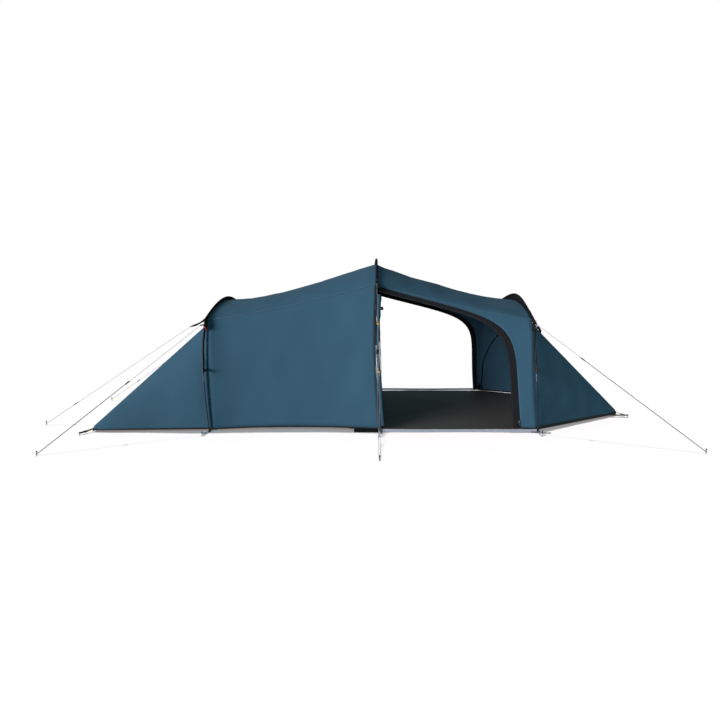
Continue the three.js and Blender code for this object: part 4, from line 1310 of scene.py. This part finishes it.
def make_runner(line):
    """A moulded line runner: waisted, ribbed for the fingers, with the cord through both ends."""
    up = np.array((-line.along).cross(line.across))
    across, back = np.array(line.across), np.array(-line.along)
    centre = np.array(line.runner - line.across * (STRAND_GAP / 2))
    turn = turns(29)[:-1]
    c, s = (np.sign(v) * np.abs(v) ** RUNNER["grip"] for v in (np.cos(turn), np.sin(turn)))
    rings = []
    for share in shares(33):
        end = min(1.0, min(share, 1 - share) * 14 + 0.55)
        wide = RUNNER["width"] / 2 * (1 - 0.10 * math.sin(math.pi * share) ** 2) * end**0.5
        ribs = 0.0005 * max(0.0, math.sin(share * 2 * np.pi * RUNNER["ribs"])) * (0.2 < share < 0.8)
        deep = (RUNNER["depth"] / 2 - 0.0006 + ribs) * end
        middle = centre + back * (share - 0.5) * RUNNER["length"]
        rings.append(middle + across * (wide * c)[:, None] + up * (deep * s)[:, None])
    shape = Shape()
    shape.mould(np.array(rings), "plastic")
    node = f"runner_{line.name}"
    return shape.build(f"line_runner_{line.name}", "runner", node, body=node, weld=MOULD_WELD, flat_angle=45)


def peg_top(shape, place, height):
    """The top of a turned pin with its flanged head and a recess under it."""
    shaft, head, neck = PEG["shaft"], PEG["head"], PEG["neck"] * height / PEG["height"]
    profile = [
        (shaft, 0.0), (shaft, neck - 0.004), (shaft * 1.3, neck - 0.002), (head, neck),
        (head, neck + 0.0012), (head * 0.72, neck + 0.0026), (head * 0.72, height - 0.0022),
        (head * 0.9, height - 0.001), (head * 0.6, height),
    ]
    lathe(shape, place * (X + Y), Z, profile, "peg")


def make_line_set(line):
    cord = make_cord(line)
    runner = make_runner(line)
    shape = Shape()
    peg_top(shape, np.array(line.foot), PEG["height"])
    peg = shape.build(f"line_peg_{line.name}", "peg", f"peg_{line.name}", flat_angle=40)
    line.length()


def make_guy_tabs():
    """Webbing loops that tie the lines to the sleeves and the hoods' tips."""
    shape = Shape()
    hoops = {hoop.name: hoop for hoop in HOOPS}
    for line in LINES:
        start, toward = np.array(line.start), np.array(line.along)
        place, side = line.name.split("_")
        way = dict(WAYS)[side]
        if place == "hood":
            hold = hood_grid(LEFT)[-1, 0 if way < 0 else -1]
            path, across, width, look = between(hold, start, 3), Z, 0.010, "strap_dark"
        else:
            hoop = hoops[place]
            near = pole_at(hoop, start[2] + 0.004, way)
            anchor = near + way * 0.0095 * Y
            across = (hoop.x_at(near[2]) - near[0]) * X + Z
            path, width, look = [anchor, mix(anchor, start, 0.5), start + toward * 0.004], 0.012, "strap"
        ribbon(shape, path, across, np.cross(toward, across), width, STRAP, look)
    shape.build("guy_tabs", "black_fabric", flat_angle=40)


# ---- feet, corners, straps and clips

THIN, WIDE, PALE, TAPE = 0.018, 0.022, 0.026, 0.019  # widths of webbing
RING_WIRE, PIN_WIRE = 0.0015, 0.0032
RING_R, HOOK_R = 0.010, 0.0075
CLIP_HEIGHT = 0.49


BUCKLE = dict(half_length=0.015, half_width=0.013, frame=0.0022, bar=0.0018)


def make_buckle(shape, at, along, side):
    """A flat ladder buckle: a frame with two cross bars."""
    along, side = BUCKLE["half_length"] * unit(along), BUCKLE["half_width"] * unit(side)
    low = [(-1, -0.7), (-0.7, -1), (0.7, -1), (1, -0.7)]
    frame_line = low + [(-a, -b) for a, b in low] + low[:1]
    tube(shape, [at + side * a + along * b for a, b in frame_line], BUCKLE["frame"], "buckle")
    for b in (-0.25, 0.3):
        tube(shape, [at - side + along * b, at + side + along * b], BUCKLE["bar"], "buckle")


def strap_run(shape, start, end, width, material, steps, tilt=0.0, droop=0.0):
    """A strap between two points that hangs by droop between them, turned up on one edge by tilt."""
    path = between(start, end, steps)
    path[:, 2] += math.sin(tilt) * width / 2 - droop * swell(shares(steps))
    along = unit(end - start)
    side = math.cos(tilt) * np.cross(along, Z) + math.sin(tilt) * Z
    ribbon(shape, path, side, np.cross(side, along), width, STRAP, material)


def make_corners():
    """At each corner a tan strap, its ladder buckle and a peg; at the right ones also a strap to the hem."""
    shape = Shape()
    for hoop, way in END_LEGS:
        corner = corner_point(hoop, way, 0.004)
        reach, spread = hoop.corner_peg
        peg = xyz(corner[0] + hoop.out * reach, corner[1] + way * spread, 0.012)
        buckle = mix(corner, peg, 0.55)
        strap_run(shape, corner, buckle, THIN, "strap_tan", 6, 0.5, 0.001)
        strap_run(shape, mix(corner, peg, 0.5), peg, THIN, "strap_dark", 6, 0.5)
        if hoop is RIGHT:
            hem = mix(corner, hoop_side(hoop, 0.0, way), 0.11) - HEM_BAND * Z
            strap_run(shape, hem, peg, WIDE, "strap_dark", 10, 0.7)
        make_buckle(shape, buckle, peg - corner, np.cross(peg - corner, Z))
        peg_top(shape, peg, 0.026)
    shape.build("corner_straps", "black_fabric", flat_angle=40)


def make_feet():
    """At each hoop's foot the strap that holds the pole's tip, a ring, pale straps and their peg. The pale
    straps are a lighter copy of the webbing: painted light, which the key light hardly gives them.
    """
    shape = Shape()
    for hoop, way in LEGS:
        foot = xyz(hoop.x, way * FOOT_Y, 0.006)
        hem = xyz(hoop.x, way * (HEM[0] + 0.002), HEM[1])
        strap_run(shape, hem, foot + way * 0.012 * Y, WIDE, "strap_dark", 8)
        lean, out = hoop.foot_peg
        peg = foot + xyz(lean, way * out, 0.003)
        near = foot + way * 0.004 * Y - 0.003 * Z
        # the lighter copy of the webbing is painted light
        strap_run(shape, near, peg - 0.006 * Z, PALE, "strap_painted_lit", 6, 0.25)
        strap_run(shape, near, hem + 0.060 * X - 0.008 * Z, THIN, "strap_painted_lit", 6, 0.5)
        tube(shape, arc(foot + 0.005 * Z, RING_R * X, RING_R * Y, turns(25)), RING_WIRE, "peg")
        peg_top(shape, peg, 0.022)
        if hoop is RIGHT:
            lay_pin(shape, foot + (-0.062, way * 0.006, 0), foot + (0.074, way * 0.040, 0))
    shape.build("hoop_feet", "black_fabric", flat_angle=40)


def lay_pin(shape, start, end, bend=0.007):
    """A wire pin laid flat through the strap, bent round at one end."""
    along = unit(end - start)
    side = np.cross(Z, along)
    hook = arc(end + bend * side, -bend * side, bend * along, np.linspace(0, np.pi, 9)[1:])
    tube(shape, np.concatenate([between(start, end, 12), hook]), PIN_WIRE, "peg", sides=10)


def make_base_straps():
    """The pale straps, on edge, that tie the feet together across each doorway, and the doorways' ties."""
    shape = Shape()
    for name, way in WAYS:
        k = shares(40)
        y = way * (FOOT_Y - 0.010 + 0.004 * np.sin(k * 9))
        path = xyz(mix(MIDDLE.x + 0.012, RIGHT.x - 0.012, k), y, 0.0135 - 0.002 * swell(k))
        ribbon(shape, path, (0, -0.45 * way, 0.9), (0, 0.9 * way, 0.45), 0.024, STRAP, "strap")
        low = living_side(np.array(DOOR[name] - 0.5 * DOOR["band_x"]), np.array(0.0), way)
        low[2] = 0.012
        peg = low + (-0.035, way * 0.060, -0.004)
        strap_run(shape, low, peg, 0.014, "strap_dark", 8)
        tube(shape, arc(low + (0, way * 0.004, 0.002), 0.011 * X, 0.011 * Z, turns(25)), 0.0014, "peg")
        peg_top(shape, peg, 0.024)
    shape.build("base_straps", "cord", flat_angle=40)


LIP = dict(start=-0.155, end=0.040, inner=0.9445, outer=0.997, low=0.0015, high=0.020)


def make_floor_lips():
    """The groundsheet's corners, drawn out under the hem to the middle hoop's feet. They wear the black
    sleeve cloth, darker than the groundsheet: painted shade under the hem.
    """
    shape = Shape()
    for way in SIDES:
        u, v = shares(24)[:, None], shares(8)[None, :]
        x = mix(LIP["start"], LIP["end"], u) + 0.006 * v
        y = way * (mix(LIP["inner"], LIP["outer"], v) + 0.002 * np.sin(u * 7))
        z = LIP["low"] + (LIP["high"] - LIP["low"] + 0.002 * np.sin(u * 9)) * (1 - v) ** 1.4
        # painted shade: black cloth in place of the groundsheet's own
        shape.grid(xyz(x, y, z), "black")
    shape.build("groundsheet_lips", "groundsheet", thick=0.0008)


def make_clips():
    """Half way up each leg a strap and hook that clip the flysheet to the pole."""
    shape = Shape()
    for hoop, way in END_LEGS:
        pole = pole_at(hoop, CLIP_HEIGHT, way)
        skin = hoop_side(hoop, (CLIP_HEIGHT - HEM[1]) / (hoop.shoulder[1] - HEM[1]), way)
        skin[2] = pole[2]
        strap = between(skin + 0.016 * X, pole - way * 0.008 * Y, 3)
        ribbon(shape, strap, Z, (1, -0.2 * way, 0), WIDE, 0.0018, "strap_dark")
        hook = arc(pole, HOOK_R * X, way * HOOK_R * Y, np.linspace(0.35 * np.pi, 1.9 * np.pi, 18))
        ribbon(shape, hook, Z, hook - pole, WIDE, 0.002, "plastic")
    shape.build("pole_clips", "black_fabric", flat_angle=40)


def make_tabs():
    """Small coloured tabs at the sleeves' mouths and pale loops above them."""
    shape = Shape()
    for hoop, way in LEGS:
        mouth = pole_at(hoop, hoop.sleeve_end, way)
        steps = ((-0.008, 0.011, 0.030), (0.006, 0.013, 0.010), (0.022, 0.011, -0.012))
        tab = [mouth + (x, way * y, z) for x, y, z in steps]
        ribbon(shape, tab, (0.6, 0, 0.8), way * Y, 0.008, 0.0014, hoop.tab)
        loop = mouth + (0, way * 0.0125, 0.055)
        tube(shape, arc(loop, 0.011 * X, 0.004 * Z, turns(21)), LOOP_WIRE, "cord")
    shape.build("sleeve_tabs", "black_fabric", flat_angle=40)


def make_leg_straps():
    """Black tape that runs from each sleeve's mouth down the inside of the pole to its clip."""
    shape = Shape()
    for hoop, way in LEGS:
        leg = pole_leg(hoop, way)
        z = np.linspace(hoop.tape_foot, hoop.sleeve_end + 0.006, 30)
        y = np.interp(z, leg[:, 2], leg[:, 1]) - way * (POLE_R + 0.0022)
        run = xyz(hoop.x_at(z) + 0.002 * np.sin(z * 25), y, z)
        ribbon(shape, run, X, np.cross(np.gradient(run, axis=0), X), TAPE, 0.0014, "strap_dark")
    shape.build("leg_straps", "black_fabric", flat_angle=40)


# ---- stage


FILL = (0.15, 0.24, 0.25)
WARM = (1.0, 0.947, 0.937)  # the top light's tint, which makes up for the cool fill on the floor
SUNS = [  # name, where it shines from, strength, angle, colour, and whether it lights the floor or the rest
    ("key", (-0.75, -0.62, 0.02), 6.4, 50, (1.0, 1.0, 1.0), "EXCLUDE"),
    ("top", (-0.04, 0.26, 1.0), 2.7, 2.5, WARM, "INCLUDE"),
]
STAGE_HALF = 30.0


def make_stage():
    """A white floor, white surroundings, a low key light from the front left and a weak one above."""
    mesh = bpy.data.meshes.new("floor")
    corners = [(x * STAGE_HALF, y * STAGE_HALF, 0) for x, y in ((-1, -1), (1, -1), (1, 1), (-1, 1))]
    mesh.from_pydata(corners, [], [(0, 1, 2, 3)])
    mesh.materials.append(ground("studio_floor"))
    floor = add_object("floor", mesh)
    floor.location.z = -0.0005
    floor.visible_diffuse = floor.visible_glossy = False
    make_world()
    for name, towards, strength, angle, colour, floor_state in SUNS:
        light = add_sun(name, towards, strength, angle)
        light.data.color = colour
        lit = bpy.data.collections.new(f"lit_by_{name}")
        lit.objects.link(floor)
        light.light_linking.receiver_collection = lit
        lit.collection_objects[0].light_linking.link_state = floor_state
    bpy.context.scene.view_settings.view_transform = "Standard"


def make_world():
    """White to look at, and a weaker, cooler light on everything."""
    world = bpy.data.worlds.new("studio")
    world.use_nodes = True
    nodes, links = world.node_tree.nodes, world.node_tree.links
    seen = nodes.new("ShaderNodeLightPath").outputs["Is Camera Ray"]
    colour = nodes.new("ShaderNodeMix")
    colour.data_type = "RGBA"
    colour.inputs[6].default_value = (*FILL, 1.0)
    colour.inputs[7].default_value = (1.0, 1.0, 1.0, 1.0)
    links.new(seen, colour.inputs[0])
    links.new(colour.outputs[2], nodes["Background"].inputs["Color"])
    bpy.context.scene.world = world


def add_sun(name, towards, strength, angle):
    """A soft sun that shines from the given direction."""
    data = bpy.data.lights.new(name, "SUN")
    data.energy, data.angle = strength, math.radians(angle)
    sun = add_object(name, data)
    sun.rotation_euler = Vector(towards).to_track_quat("Z", "Y").to_euler()
    return sun


# ---- build

for guy in LINES:
    make_line_set(guy)
make_flysheet()
make_seams()
make_lining()
make_foot_patches()
make_hems()
for side_name, side_way in WAYS:
    make_door_band(side_name, side_way)
    make_roll(side_name, side_way)
    make_slider(side_name, side_way)
    make_door_ties(side_name, side_way)
    for which in TOGGLE_HEIGHTS:
        make_toggle(side_name, side_way, which)
for hoop in HOOPS:
    make_pole(hoop)
    make_sleeve(hoop)
for hoop in ENDS:
    make_hood(hoop)
living = [(-0.196, 0.905), (0.450, 0.925), (1.326, 0.915), (2.210, 0.368)]
make_floor("groundsheet", "groundsheet_living", living)
sleeping = [(INNER["foot"], INNER["half"]), (INNER["front"], INNER["half"])]
make_floor("inner_groundsheet", "inner_floor", sleeping)
make_inner()
make_inner_wall()
make_inner_roll()
make_guy_tabs()
make_corners()
make_feet()
make_base_straps()
make_floor_lips()
make_clips()
make_tabs()
make_leg_straps()
make_stage()

bpy.context.view_layer.update()
